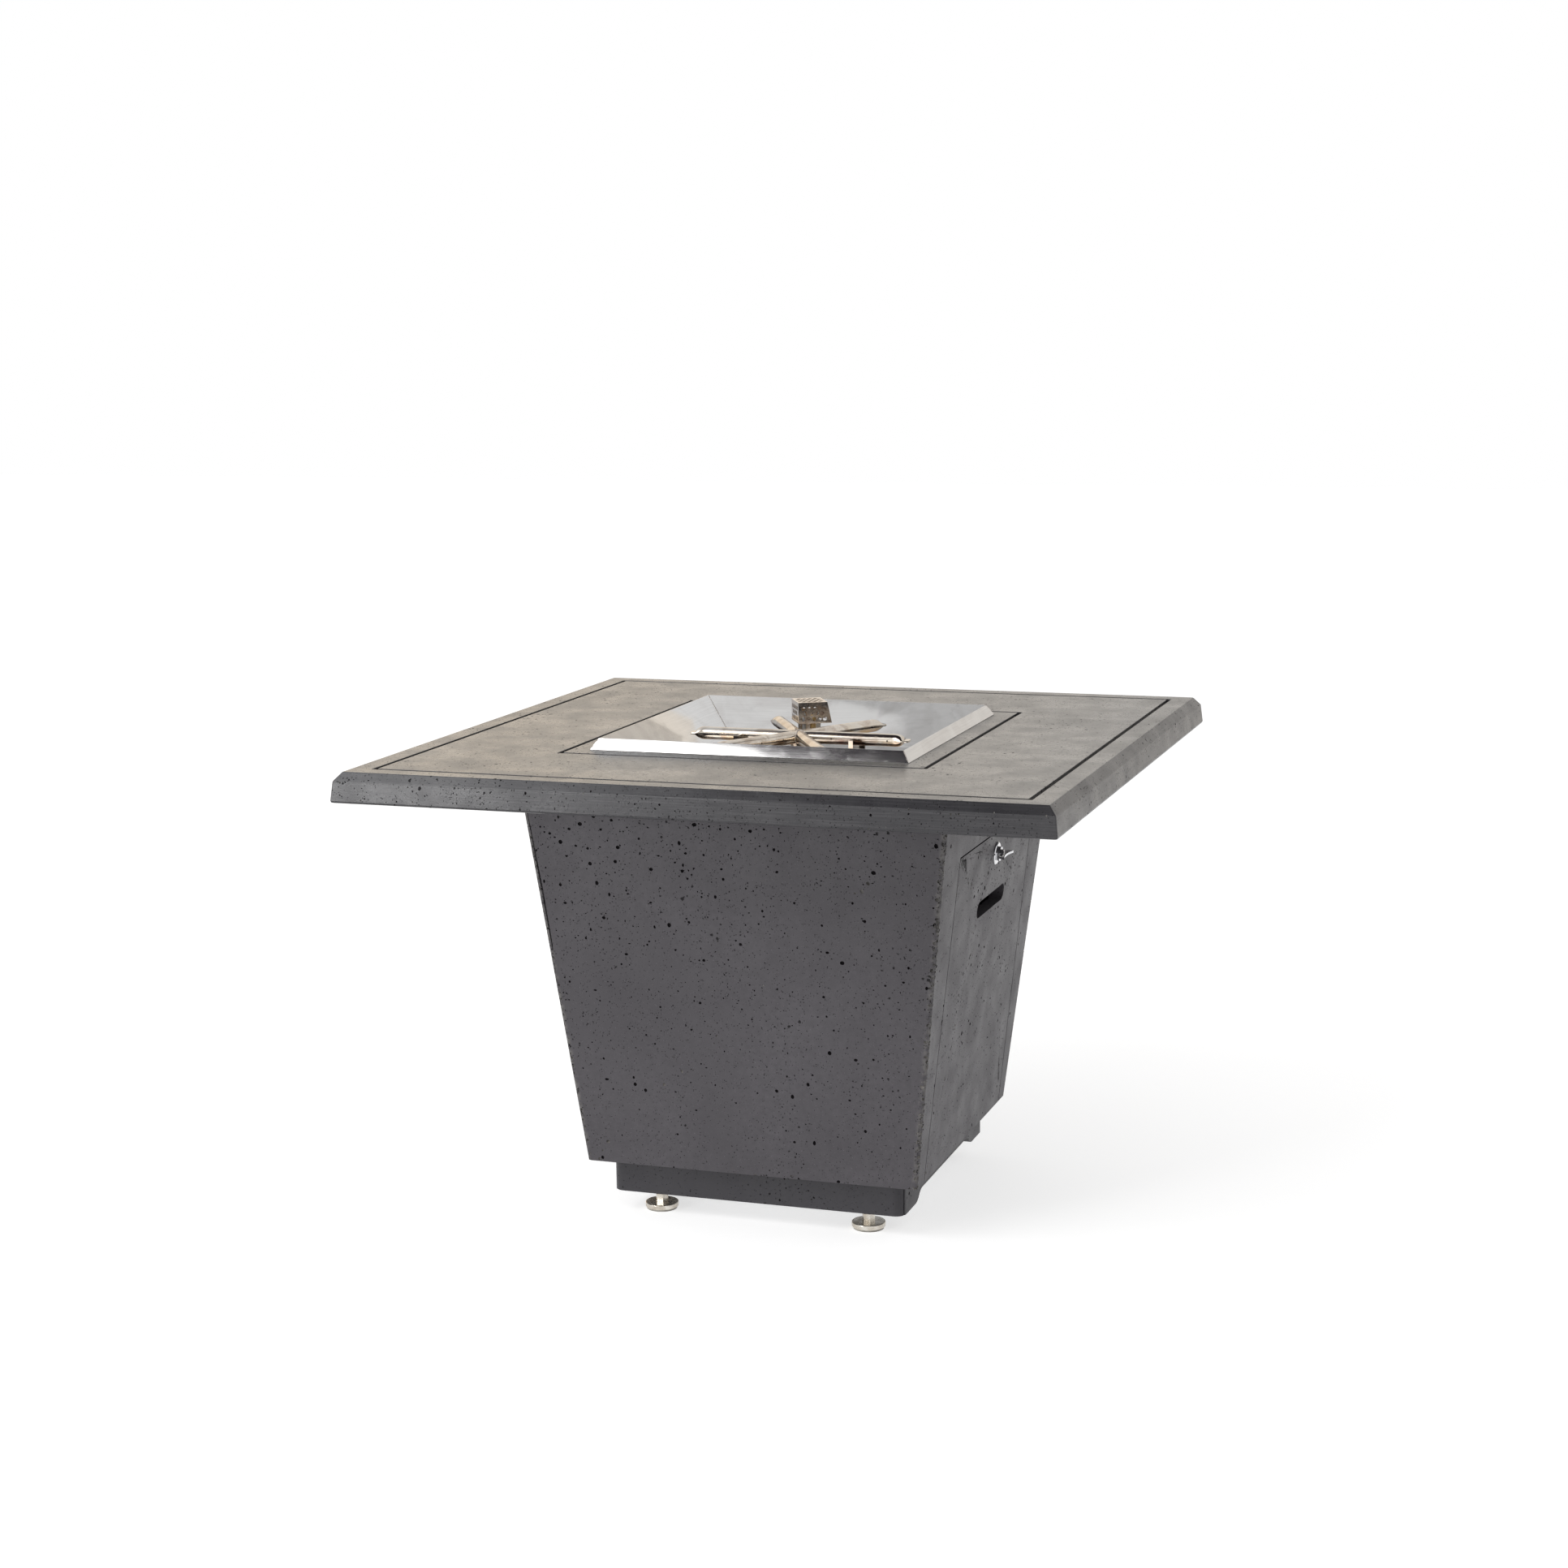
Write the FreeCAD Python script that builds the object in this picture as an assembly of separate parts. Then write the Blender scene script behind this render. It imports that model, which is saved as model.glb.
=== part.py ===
# Square gas fire table: a cast top with a drop-in burner pan, on a tapered cast base
# that has a side door, a recessed plinth and four levelling feet.
# Frame: origin on the floor under the middle of the table, X towards the door side,
# Y towards the back, Z up. All sizes are in millimetres.
import FreeCAD, Part
import math
import os

Vector = FreeCAD.Vector
X_AXIS = Vector(1, 0, 0)
Y_AXIS = Vector(0, 1, 0)
Z_AXIS = Vector(0, 0, 1)
ORIGIN = Vector(0, 0, 0)

# Whole table
top_width = 914.4
top_height = 618.0
fit_gap = 0.3
running_gap = 0.05
cutter_over = 1.0

# Cast top
slab_depth = 38.0
slab_chamfer_drop = 11.0
slab_chamfer_run = 9.5
slab_edge_draft = 3.0
slab_edge_round = 3.0
groove_depth = 5.0
groove_width = 5.6
outer_groove_half = 415.4
inner_groove_half = 241.4
pan_cutout_half = 195.0
pan_cutout_round = 6.0

# Tapered base and plinth
base_top_half = 282.0
base_bottom_half = 224.0
base_bottom_z = 75.0
base_wall = 18.0
base_corner_round = 5.0
plinth_half = 199.0
plinth_bottom_z = 29.0
plinth_corner_round = 14.0
ledge_thickness = 18.0
gusset_leg = 62.0
gusset_thickness = 24.0
gusset_bolt_inset = 44.0

# Door and its opening
door_half_width = 190.0
door_top_drop = 83.0
door_gap = 2.0
rebate_overlap = 6.0
rebate_thickness = 10.0
rebate_land = 12.0
rebate_gap = 1.0
finger_slot_drop = 93.0
finger_slot_length = 140.0
finger_slot_height = 22.0
arch_height = 13.0
arch_top_half = 109.0
arch_bottom_half = 142.0

# Levelling feet and the blocks that hold them
foot_x = 143.0
foot_y = 167.0
foot_block_height = 28.0
foot_block_half_length = 33.0
foot_block_reach = 40.0
foot_stud_radius = 5.0
foot_stud_top_gap = 5.0
foot_disc_radius = 22.0
foot_disc_height = 6.5
foot_pad_radius = 20.0
foot_pad_height = 2.5
foot_hex_flats = 15.0
foot_hex_height = 11.0
foot_insert_radius = 7.5
foot_insert_length = 25.0
foot_bore_gap = 1.0
foot_disc_round = 1.2

# Floor panel that carries the gas bottle
floor_thickness = 3.0
floor_edge_gap = 2.0
floor_vent_radius = 60.0

# Door hinges
hinge_y = 128.0
hinge_leaf_width = 36.0
hinge_leaf_thickness = 1.6
hinge_knuckle_radius = 3.6
hinge_pin_radius = 2.0
hinge_axis_offset = 5.5
hinge_axis_rise = 9.0
hinge_leaf_height = 26.0
hinge_knuckle_split = 13.0
hinge_screw_radius = 1.9
hinge_screw_half_spacing = 10.8
hinge_bridge_inset = 1.0
door_leaf_gap = 1.0
door_leaf_screw_rise = 15.6
base_leaf_screw_drop = 5.2

# Cam latch
latch_drop = 29.0
latch_plate_radius = 15.0
latch_plate_thickness = 2.5
latch_plate_chamfer = 1.0
latch_boss_radius = 9.5
latch_boss_height = 4.0
latch_barrel_radius = 8.5
latch_barrel_gap = 0.1
latch_spindle_radius = 4.0
latch_spindle_tail = 5.0
latch_nut_radius = 13.0
latch_nut_recess = 5.0
wing_half_length = 25.0
wing_reach = 9.0
wing_waist_cut = 3.0
wing_thickness = 3.0
wing_collar_radius = 6.0
wing_collar_length = 3.2
wing_stand_off = 1.5
wing_end_taper = 3.0
wing_socket_depth = 4.0
cam_reach = 46.0
cam_width = 16.0
cam_thickness = 3.0
cam_play = 1.2
cam_nut_flats = 12.0
cam_nut_height = 4.0
strike_thickness = 1.5
strike_half_width = 22.0
strike_height = 30.0
strike_margin = 3.0

# Burner pan
pan_flange_half = 212.5
pan_ridge_half = 203.0
pan_ridge_rise = 15.0
pan_depth = 55.0
pan_floor_half = 146.0
pan_sheet = 1.5
pan_drain_radius = 3.0
pan_drain_inset = 24.0
pan_lead_hole_radius = 14.0

# Star burner
arm_count = 6
arm_axis_drop = 6.5
arm_radius = 8.6
arm_wall = 1.2
arm_straight = 133.0
arm_pinch = 12.0
arm_tab_length = 8.0
arm_tab_half_width = 10.0
arm_tab_thickness = 2.4
arm_tab_inset = 0.8
arm_tab_round = 3.0
arm_tab_lap = 1.5
arm_bore_end = 1.0
port_radius = 1.0
port_pitch = 38.5
port_first_left = 35.0
port_first_right = 47.0
ports_each_side = 3
hub_radius = 12.0
hub_height = 17.0
hub_top_drop = 4.3
nipple_radius = 8.0
nipple_bore_radius = 5.5
nipple_length = 45.0
pan_nut_flats = 27.0
pan_nut_height = 7.0
leg_distance = 77.0
leg_half_width = 28.0
leg_sheet = 2.0
leg_flange = 6.0
leg_foot = 14.0
leg_rise = 2.0

# Air mixer and gas jet under the pan
mixer_radius = 12.0
mixer_length = 39.0
mixer_socket = 6.0
mixer_window_height = 12.0
mixer_window_width = 9.0
mixer_window_rise = 2.0
jet_radius = 9.0
jet_height = 16.0
jet_spud_radius = 6.5
jet_spud_height = 5.0
jet_inlet_radius = 6.0
jet_inlet_length = 14.0

# Pilot and its hood, turned to lie along the back left arm
hood_turn = 30.0
hood_centre_x = -11.6
hood_centre_y = 89.4
hood_half = 23.0
hood_height = 28.6
hood_slope = 6.0
hood_sheet = 1.0
hood_gap_above_slab = 1.0
hood_hole_radius = 2.8
hood_hole_pitch = 7.5
hood_row_pitch = 7.2
hood_first_row = 6.0
pilot_bracket_sheet = 1.5
pilot_bracket_half = 14.0
pilot_bracket_foot = 14.0
pilot_shelf_drop = 15.0
pilot_shelf_reach = 16.0
pilot_radius = 4.0
pilot_height = 32.0
pilot_cap_height = 3.0
pilot_slot_height = 3.0
pilot_slot_width = 2.0
electrode_radius = 1.0
electrode_height = 10.0
insulator_radius = 3.2
insulator_height = 26.0
thermocouple_radius = 2.4
thermocouple_height = 34.0
pilot_side = 10.0
pilot_back = 4.0
pilot_front = 8.0
pilot_below_shelf = 10.0

# Control panel behind the front jamb
panel_set_back = 38.1
panel_sheet = 2.0
panel_inner_y = -92.0
panel_top_drop = 76.0
panel_height = 106.0
panel_flange = 22.0
valve_y = -145.0
valve_drop = 118.0
valve_depth = 35.0
valve_half_width = 15.0
valve_half_height = 16.0
valve_corner_round = 3.0
valve_stem_radius = 3.0
valve_stem_reach = 18.0
valve_collar_radius = 8.0
valve_collar_length = 2.5
knob_radius = 21.0
knob_length = 18.0
knob_travel = 4.0
knob_edge_round = 2.0
knob_grip_count = 12
knob_grip_radius = 2.0
knob_grip_out = 1.0
pointer_width = 2.0
pointer_rise = 1.0
pointer_inner = 4.0
pointer_margin = 3.0
inlet_radius = 7.94
inlet_thread = 14.0
inlet_hex_flats = 19.0
inlet_hex_height = 7.0
igniter_y = -112.0
igniter_drop = 158.0
igniter_box_radius = 13.0
igniter_box_length = 38.0
igniter_box_play = 1.0
igniter_terminal_radius = 3.0
igniter_terminal_inset = 6.0
igniter_terminal_rise = 3.0
igniter_bezel_radius = 12.0
igniter_bezel_length = 3.0
igniter_bezel_chamfer = 1.0
igniter_button_radius = 8.0
igniter_button_out = 9.0
igniter_button_in = 14.0
igniter_button_round = 1.5
igniter_travel = 6.0

# Gas tubes and leads
gas_tube_radius = 4.0
gas_tube_bore_radius = 3.0
jet_tube_drop = 6.9
pilot_tube_radius = 2.0
pilot_tube_drop = 35.0
thermocouple_lead_radius = 1.5
thermocouple_lead_drop = 27.0
igniter_wire_radius = 1.5
igniter_wire_drop = 19.0
lead_bend = 14.0
lead_spread = 9.0
tube_socket_depth = 4.0

# Fasteners
top_bolt_radius = 4.0
top_bolt_head_flats = 13.0
top_bolt_head_height = 5.3
top_bolt_flange_radius = 9.0
top_bolt_flange_height = 1.6
top_insert_radius = 6.5
top_insert_length = 18.0
top_bolt_end_gap = 2.0
small_screw_radius = 2.0
small_screw_head_radius = 4.0
small_screw_head_height = 1.8
small_screw_length = 11.0

# Levels and places that follow from the sizes above
slab_bottom_z = top_height - slab_depth
base_slope = (base_top_half - base_bottom_half) / (slab_bottom_z - base_bottom_z)
base_lean = math.degrees(math.atan(base_slope))
door_top_z = slab_bottom_z - door_top_drop
finger_slot_z = door_top_z - finger_slot_drop
latch_z = door_top_z - latch_drop
panel_bottom_z = slab_bottom_z - panel_top_drop - panel_height
valve_z = slab_bottom_z - valve_drop
igniter_z = slab_bottom_z - igniter_drop
ledge_top_z = base_bottom_z + ledge_thickness
plinth_inner = plinth_half - base_wall
pan_floor_z = top_height + pan_ridge_rise - pan_depth
arm_axis_z = top_height - arm_axis_drop
hub_low_z = arm_axis_z - hub_top_drop - hub_height
foot_block_top_z = plinth_bottom_z + foot_block_height
hinge_x = plinth_inner - hinge_axis_offset
hinge_z = plinth_bottom_z + hinge_axis_rise
foot_block_x = hinge_x - hinge_axis_offset
door_leaf_low_z = hinge_z + hinge_knuckle_radius + door_leaf_gap
panel_outer_half = base_bottom_half + (panel_bottom_z - base_bottom_z) * base_slope
panel_x = panel_outer_half - base_wall - panel_set_back
valve_back_x = panel_x - panel_sheet - valve_depth
valve_mid_x = panel_x - panel_sheet - valve_depth / 2
valve_top_z = valve_z + valve_half_height
hood_bottom_z = top_height + hood_gap_above_slab
shelf_z = hood_bottom_z - pilot_shelf_drop
nipple_bottom_z = arm_axis_z - arm_radius - nipple_length
mixer_top_z = nipple_bottom_z + mixer_socket
mixer_bottom_z = mixer_top_z - mixer_length
gas_tube_level = mixer_bottom_z - jet_tube_drop
pilot_tube_level = slab_bottom_z - pilot_tube_drop
thermocouple_lead_level = slab_bottom_z - thermocouple_lead_drop
igniter_wire_level = slab_bottom_z - igniter_wire_drop


def outer_half(z):
    """Half-width of the tapered base outside at a level."""
    return base_bottom_half + (z - base_bottom_z) * base_slope


def save(name, shape):
    """Write one sub-part as a STEP file named after its node."""
    shape.exportStep("parts/" + name + ".step")


def box(x0, x1, y0, y1, z0, z1):
    return Part.makeBox(x1 - x0, y1 - y0, z1 - z0, Vector(x0, y0, z0))


def rod(radius, length, start, direction):
    return Part.makeCylinder(radius, length, start, direction)


def flat_face(points):
    return Part.Face(Part.makePolygon(points + points[:1]))


def frustum(low_half, low_z, high_half, high_z):
    """Square block whose half-width changes evenly with height."""
    around = ((-1, -1), (1, -1), (1, 1), (-1, 1))
    low = [Vector(sx * low_half, sy * low_half, low_z) for sx, sy in around]
    high = [Vector(sx * high_half, sy * high_half, high_z) for sx, sy in around]
    faces = [flat_face(low[::-1]), flat_face(high)]
    for k in range(4):
        after = (k + 1) % 4
        faces.append(flat_face([low[k], low[after], high[after], high[k]]))
    return Part.Solid(Part.Shell(faces))


def prism(points, direction):
    """Solid swept from a flat outline of points along a direction."""
    return flat_face(points).extrude(direction)


def hexagon(flats, height, start, direction):
    """Hexagonal prism, given its width across the flats."""
    corner_radius = flats / math.sqrt(3)
    points = []
    for k in range(6):
        angle = math.radians(60 * k)
        points.append(Vector(corner_radius * math.cos(angle), corner_radius * math.sin(angle), 0))
    solid = prism(points, Vector(0, 0, height))
    solid.Placement = FreeCAD.Placement(start, FreeCAD.Rotation(Z_AXIS, direction))
    return solid


def joined(solids):
    """Fuse solids into one, with the faces that line up merged."""
    whole = solids[0]
    if len(solids) > 1:
        whole = whole.fuse(solids[1:])
    return whole.removeSplitter()


def rounded(solid, radius, wanted):
    """Round the edges that the test picks by their middle point and direction."""
    edges = []
    for edge in solid.Edges:
        middle = edge.valueAt((edge.FirstParameter + edge.LastParameter) / 2)
        along = edge.Vertexes[-1].Point - edge.Vertexes[0].Point
        if wanted(middle, along):
            edges.append(edge)
    return solid.makeFillet(radius, edges)


def upright(middle, along):
    """True for an edge that climbs, such as the corner edge of a block."""
    return abs(along.z) > 0.8 * along.Length


def far_rims(solid, x):
    """The round edges of a turned piece that lie beyond a place along X."""
    return [edge for edge in solid.Edges if edge.Closed and edge.CenterOfMass.x > x + fit_gap]


def each_corner(x, y):
    """The four corners of a rectangle about the middle."""
    return [(sx * x, sy * y) for sx in (-1, 1) for sy in (-1, 1)]


# Cast top

def slab_outline():
    edge_top_z = top_height - slab_chamfer_drop
    half = top_width / 2
    edge = frustum(half, slab_bottom_z, half - slab_edge_draft, edge_top_z)
    chamfer_half = half - slab_edge_draft - slab_chamfer_run
    chamfer = frustum(half - slab_edge_draft, edge_top_z, chamfer_half, top_height)
    slab = joined([edge, chamfer])
    return rounded(slab, slab_edge_round, lambda middle, along: middle.z < slab_bottom_z + 0.01)


def square_groove(half):
    bottom_z = top_height - groove_depth
    outside = half + groove_width / 2
    inside = half - groove_width / 2
    return frustum(outside, bottom_z, outside, top_height + cutter_over).cut(
        frustum(inside, bottom_z, inside, top_height + cutter_over))


def top_bolt_places():
    reach = outer_half(slab_bottom_z) - base_wall
    return each_corner(reach - gusset_bolt_inset / 2, reach - gusset_bolt_inset / 2)


def make_tabletop():
    half = pan_cutout_half
    cutout = frustum(half, slab_bottom_z - cutter_over, half, top_height + cutter_over)
    cutout = rounded(cutout, pan_cutout_round, upright)
    slab = slab_outline().cut(cutout)
    slab = slab.cut(square_groove(outer_groove_half)).cut(square_groove(inner_groove_half))
    for x, y in top_bolt_places():
        foot = Vector(x, y, slab_bottom_z)
        slab = slab.cut(rod(top_insert_radius, top_insert_length, foot, Z_AXIS))
    return slab


def make_top_inserts():
    inserts = []
    for x, y in top_bolt_places():
        foot = Vector(x, y, slab_bottom_z)
        shell = rod(top_insert_radius, top_insert_length, foot, Z_AXIS)
        inserts.append(shell.cut(rod(top_bolt_radius, top_insert_length, foot, Z_AXIS)))
    return Part.makeCompound(inserts)


def make_top_bolts():
    bolts = []
    seat_z = slab_bottom_z - gusset_thickness
    for x, y in top_bolt_places():
        flange_z = seat_z - top_bolt_flange_height
        shank_length = gusset_thickness + top_insert_length - top_bolt_end_gap
        shank = rod(top_bolt_radius, shank_length, Vector(x, y, seat_z), Z_AXIS)
        flange = rod(top_bolt_flange_radius, top_bolt_flange_height, Vector(x, y, flange_z), Z_AXIS)
        head_start = Vector(x, y, flange_z - top_bolt_head_height)
        head = hexagon(top_bolt_head_flats, top_bolt_head_height, head_start, Z_AXIS)
        bolts.append(joined([shank, flange, head]))
    return Part.makeCompound(bolts)


# Base and door, cut from one cast shell

def base_outside():
    taper = frustum(base_bottom_half, base_bottom_z, outer_half(slab_bottom_z), slab_bottom_z)
    taper = rounded(taper, base_corner_round, upright)
    plinth = frustum(plinth_half, plinth_bottom_z, plinth_half, ledge_top_z)
    plinth = rounded(plinth, plinth_corner_round, upright)
    return taper, plinth


def base_hollow():
    low = outer_half(ledge_top_z) - base_wall
    high_z = slab_bottom_z + cutter_over
    upper = frustum(low, ledge_top_z, outer_half(high_z) - base_wall, high_z)
    lower = frustum(plinth_inner, plinth_bottom_z - cutter_over, plinth_inner, ledge_top_z)
    return joined([upper, lower])


def cast_shell():
    taper, plinth = base_outside()
    return joined([taper, plinth]).cut(base_hollow())


def door_block(side_gap, top_gap, inner_x):
    reach = outer_half(slab_bottom_z)
    half = door_half_width + side_gap
    return box(inner_x, reach, -half, half, plinth_bottom_z - cutter_over, door_top_z + top_gap)


def wall_strip(low_z, high_z, shallow, deep, y0, y1):
    """Strip that leans with the door side, between two depths behind its outer face."""
    points = []
    for depth, z in ((shallow, low_z), (deep, low_z), (deep, high_z), (shallow, high_z)):
        points.append(Vector(outer_half(z) - depth, y0, z))
    return prism(points, Vector(0, y1 - y0, 0))


def door_rebate(side):
    """Land and lip behind one edge of the door, which stop it from falling in."""
    edge = door_half_width + door_gap
    deep = base_wall + rebate_gap + rebate_thickness
    land = wall_strip(ledge_top_z, door_top_z, base_wall, deep, edge, edge + rebate_land)
    lip_low = door_half_width - rebate_overlap
    lip = wall_strip(ledge_top_z, door_top_z, base_wall + rebate_gap, deep, lip_low, edge)
    rebate = joined([land, lip])
    if side < 0:
        rebate = rebate.mirror(ORIGIN, Y_AXIS)
    return rebate


def top_gussets(taper):
    low_z = slab_bottom_z - gusset_thickness
    reach = outer_half(slab_bottom_z)
    inside = reach - base_wall - gusset_leg
    gussets = []
    for sx, sy in each_corner(1, 1):
        block = box(inside, reach, inside, reach, low_z, slab_bottom_z)
        block = block.mirror(ORIGIN, X_AXIS) if sx < 0 else block
        block = block.mirror(ORIGIN, Y_AXIS) if sy < 0 else block
        gussets.append(block.common(taper))
    return gussets


def foot_blocks(plinth):
    blocks = []
    for x, y in each_corner(foot_x, foot_y):
        x0 = foot_x - foot_block_half_length
        x1 = foot_block_x if x > 0 else plinth_inner + cutter_over
        near, far = foot_y - foot_block_reach, plinth_inner + cutter_over
        block = box(x0, x1, near, far, plinth_bottom_z, foot_block_top_z)
        block = block.mirror(ORIGIN, X_AXIS) if x < 0 else block
        block = block.mirror(ORIGIN, Y_AXIS) if y < 0 else block
        blocks.append(block.common(plinth))
    return blocks


def make_base_shell():
    taper, plinth = base_outside()
    shell = cast_shell().cut(door_block(door_gap, door_gap, hinge_x))
    extras = top_gussets(taper) + foot_blocks(plinth) + [door_rebate(1), door_rebate(-1)]
    shell = joined([shell] + extras)
    seat_z = slab_bottom_z - gusset_thickness
    for x, y in top_bolt_places():
        hole_radius = top_bolt_radius + fit_gap
        low = Vector(x, y, seat_z - cutter_over)
        shell = shell.cut(rod(hole_radius, gusset_thickness + 2 * cutter_over, low, Z_AXIS))
    for x, y in each_corner(foot_x, foot_y):
        low = Vector(x, y, plinth_bottom_z - cutter_over)
        shell = shell.cut(rod(foot_insert_radius, foot_insert_length + cutter_over, low, Z_AXIS))
        bore_length = foot_block_height + 2 * cutter_over
        shell = shell.cut(rod(foot_stud_radius + foot_bore_gap, bore_length, low, Z_AXIS))
    return shell


def arch_notch():
    """Low arch under the door, with an S-curve of two arcs at each end."""
    low_z, high_z = plinth_bottom_z, plinth_bottom_z + arch_height
    run = arch_bottom_half - arch_top_half
    bend_radius = (run ** 2 + arch_height ** 2) / (4 * arch_height)
    bend = math.asin(run / 2 / bend_radius) / 2
    side_step = bend_radius * math.sin(bend)
    rise_step = bend_radius * (1 - math.cos(bend))
    x = plinth_inner - cutter_over

    def end_curve(side):
        foot = Vector(x, side * arch_bottom_half, low_z)
        foot_bend = Vector(x, side * (arch_bottom_half - side_step), low_z + rise_step)
        middle = Vector(x, side * (arch_bottom_half + arch_top_half) / 2, (low_z + high_z) / 2)
        crown_bend = Vector(x, side * (arch_top_half + side_step), high_z - rise_step)
        crown = Vector(x, side * arch_top_half, high_z)
        low_arc = Part.Arc(foot, foot_bend, middle).toShape()
        return [low_arc, Part.Arc(middle, crown_bend, crown).toShape()]

    below = low_z - cutter_over
    crown_line = Part.makeLine(Vector(x, -arch_top_half, high_z), Vector(x, arch_top_half, high_z))
    left_drop = Part.makeLine(Vector(x, -arch_bottom_half, below), Vector(x, -arch_bottom_half, low_z))
    right_drop = Part.makeLine(Vector(x, arch_bottom_half, low_z), Vector(x, arch_bottom_half, below))
    closing = Part.makeLine(Vector(x, arch_bottom_half, below), Vector(x, -arch_bottom_half, below))
    edges = end_curve(-1) + [crown_line] + end_curve(1) + [left_drop, right_drop, closing]
    wire = Part.Wire(Part.__sortEdges__(edges))
    return Part.Face(wire).extrude(Vector(base_wall + 2 * cutter_over, 0, 0))


def finger_slot():
    end_radius = finger_slot_height / 2
    straight = finger_slot_length / 2 - end_radius
    x0 = outer_half(finger_slot_z) - 2 * base_wall
    depth = 3 * base_wall
    low_z = finger_slot_z - end_radius
    slot = [box(x0, x0 + depth, -straight, straight, low_z, low_z + finger_slot_height)]
    for side in (-1, 1):
        slot.append(rod(end_radius, depth, Vector(x0, side * straight, finger_slot_z), X_AXIS))
    return joined(slot)


def make_door():
    door = cast_shell().common(door_block(0, 0, plinth_inner))
    door = door.cut(arch_notch()).cut(finger_slot())
    inner = -latch_door_depth()
    hole_start = Vector(-2 * base_wall, 0, 0)
    hole = rod(latch_barrel_radius + latch_barrel_gap, 3 * base_wall, hole_start, X_AXIS)
    recess_start = Vector(inner + latch_nut_recess - base_wall, 0, 0)
    recess = rod(latch_nut_radius + fit_gap, base_wall, recess_start, X_AXIS)
    return door.cut(on_door_face(hole)).cut(on_door_face(recess))


# Cam latch, drawn along X from the outer face of the door and then laid on its slope

def latch_door_depth():
    return base_wall * math.cos(math.radians(base_lean))


def on_door_face(shape):
    laid = shape.copy()
    laid.rotate(ORIGIN, Y_AXIS, base_lean)
    laid.translate(Vector(outer_half(latch_z), 0, latch_z))
    return laid


def cam_face():
    """Depth of the front of the cam behind the outer face of the door."""
    return -latch_door_depth() - strike_thickness - cam_play


def make_latch_body():
    inner = -latch_door_depth()
    plate = rod(latch_plate_radius, latch_plate_thickness, ORIGIN, X_AXIS)
    plate = plate.makeChamfer(latch_plate_chamfer, far_rims(plate, 0))
    boss = rod(latch_boss_radius, latch_boss_height, Vector(latch_plate_thickness, 0, 0), X_AXIS)
    barrel = rod(latch_barrel_radius, -inner, Vector(inner, 0, 0), X_AXIS)
    bore = rod(latch_spindle_radius + running_gap, 3 * base_wall, Vector(-2 * base_wall, 0, 0), X_AXIS)
    return on_door_face(joined([plate, boss, barrel]).cut(bore))


def make_latch_nut():
    inner = -latch_door_depth()
    nut = rod(latch_nut_radius, latch_nut_recess - fit_gap, Vector(inner + fit_gap, 0, 0), X_AXIS)
    hole = rod(latch_barrel_radius, 2 * latch_nut_recess, Vector(inner - cutter_over, 0, 0), X_AXIS)
    return on_door_face(nut.cut(hole))


def wing_front():
    """Height of the latch boss, where the wing's collar starts."""
    return latch_plate_thickness + latch_boss_height + fit_gap


def make_latch_spindle():
    back = cam_face() - cam_thickness - latch_spindle_tail
    length = wing_front() + wing_socket_depth - back
    return on_door_face(rod(latch_spindle_radius, length, Vector(back, 0, 0), X_AXIS))


def make_latch_wing():
    front = wing_front()
    collar = rod(wing_collar_radius, wing_collar_length, Vector(front, 0, 0), X_AXIS)
    inner_x = front + wing_stand_off
    outer_x = inner_x + wing_reach
    half_thickness = wing_thickness / 2
    inner_half = wing_half_length - wing_end_taper
    corners = [(outer_x, -wing_half_length), (inner_x, -inner_half)]
    corners += [(inner_x, inner_half), (outer_x, wing_half_length)]
    points = [Vector(x, y, -half_thickness) for x, y in corners]
    edges = [Part.makeLine(points[k], points[k + 1]) for k in range(3)]
    waist = Vector(outer_x - wing_waist_cut, 0, -half_thickness)
    edges.append(Part.Arc(points[3], waist, points[0]).toShape())
    blade = Part.Face(Part.Wire(edges)).extrude(Vector(0, 0, wing_thickness))
    socket = rod(latch_spindle_radius, wing_socket_depth, Vector(front, 0, 0), X_AXIS)
    return on_door_face(joined([collar, blade]).cut(socket))


def make_latch_cam():
    back = cam_face() - cam_thickness
    half_width = cam_width / 2
    tip = cam_reach - half_width
    plate = box(back, cam_face(), 0, tip, -half_width, half_width)
    root_end = rod(half_width, cam_thickness, Vector(back, 0, 0), X_AXIS)
    tip_end = rod(half_width, cam_thickness, Vector(back, tip, 0), X_AXIS)
    hole = rod(latch_spindle_radius, 3 * cam_thickness, Vector(back - cam_thickness, 0, 0), X_AXIS)
    return on_door_face(joined([plate, root_end, tip_end]).cut(hole))


def make_cam_nut():
    start = Vector(cam_face() - cam_thickness - cam_nut_height, 0, 0)
    nut = hexagon(cam_nut_flats, cam_nut_height, start, X_AXIS)
    return on_door_face(nut.cut(rod(latch_spindle_radius, cam_nut_height, start, X_AXIS)))


def strike_low():
    """Lower edge of the strike plate, measured up the slope from the latch."""
    return (door_top_z + door_gap - latch_z) / math.cos(math.radians(base_lean)) + strike_margin


def strike_screw_places():
    height = strike_low() + strike_height - 2 * small_screw_head_radius
    return [(side * (strike_half_width - 2 * small_screw_head_radius), height) for side in (-1, 1)]


def make_strike_plate():
    inner = -latch_door_depth()
    low, half = strike_low(), strike_half_width
    plate = box(inner - strike_thickness, inner, -half, half, low, low + strike_height)
    for y, z in strike_screw_places():
        start = Vector(inner - base_wall / 2, y, z)
        plate = plate.cut(rod(small_screw_radius, base_wall, start, X_AXIS))
    return on_door_face(plate)


def small_screw(start, direction):
    """Pan-head screw whose head sits on a plate at its start."""
    way = Vector(direction).normalize()
    head = rod(small_screw_head_radius, small_screw_head_height, start - way * small_screw_head_height, way)
    shank = rod(small_screw_radius, small_screw_length, start, way)
    return joined([head, shank])


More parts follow.
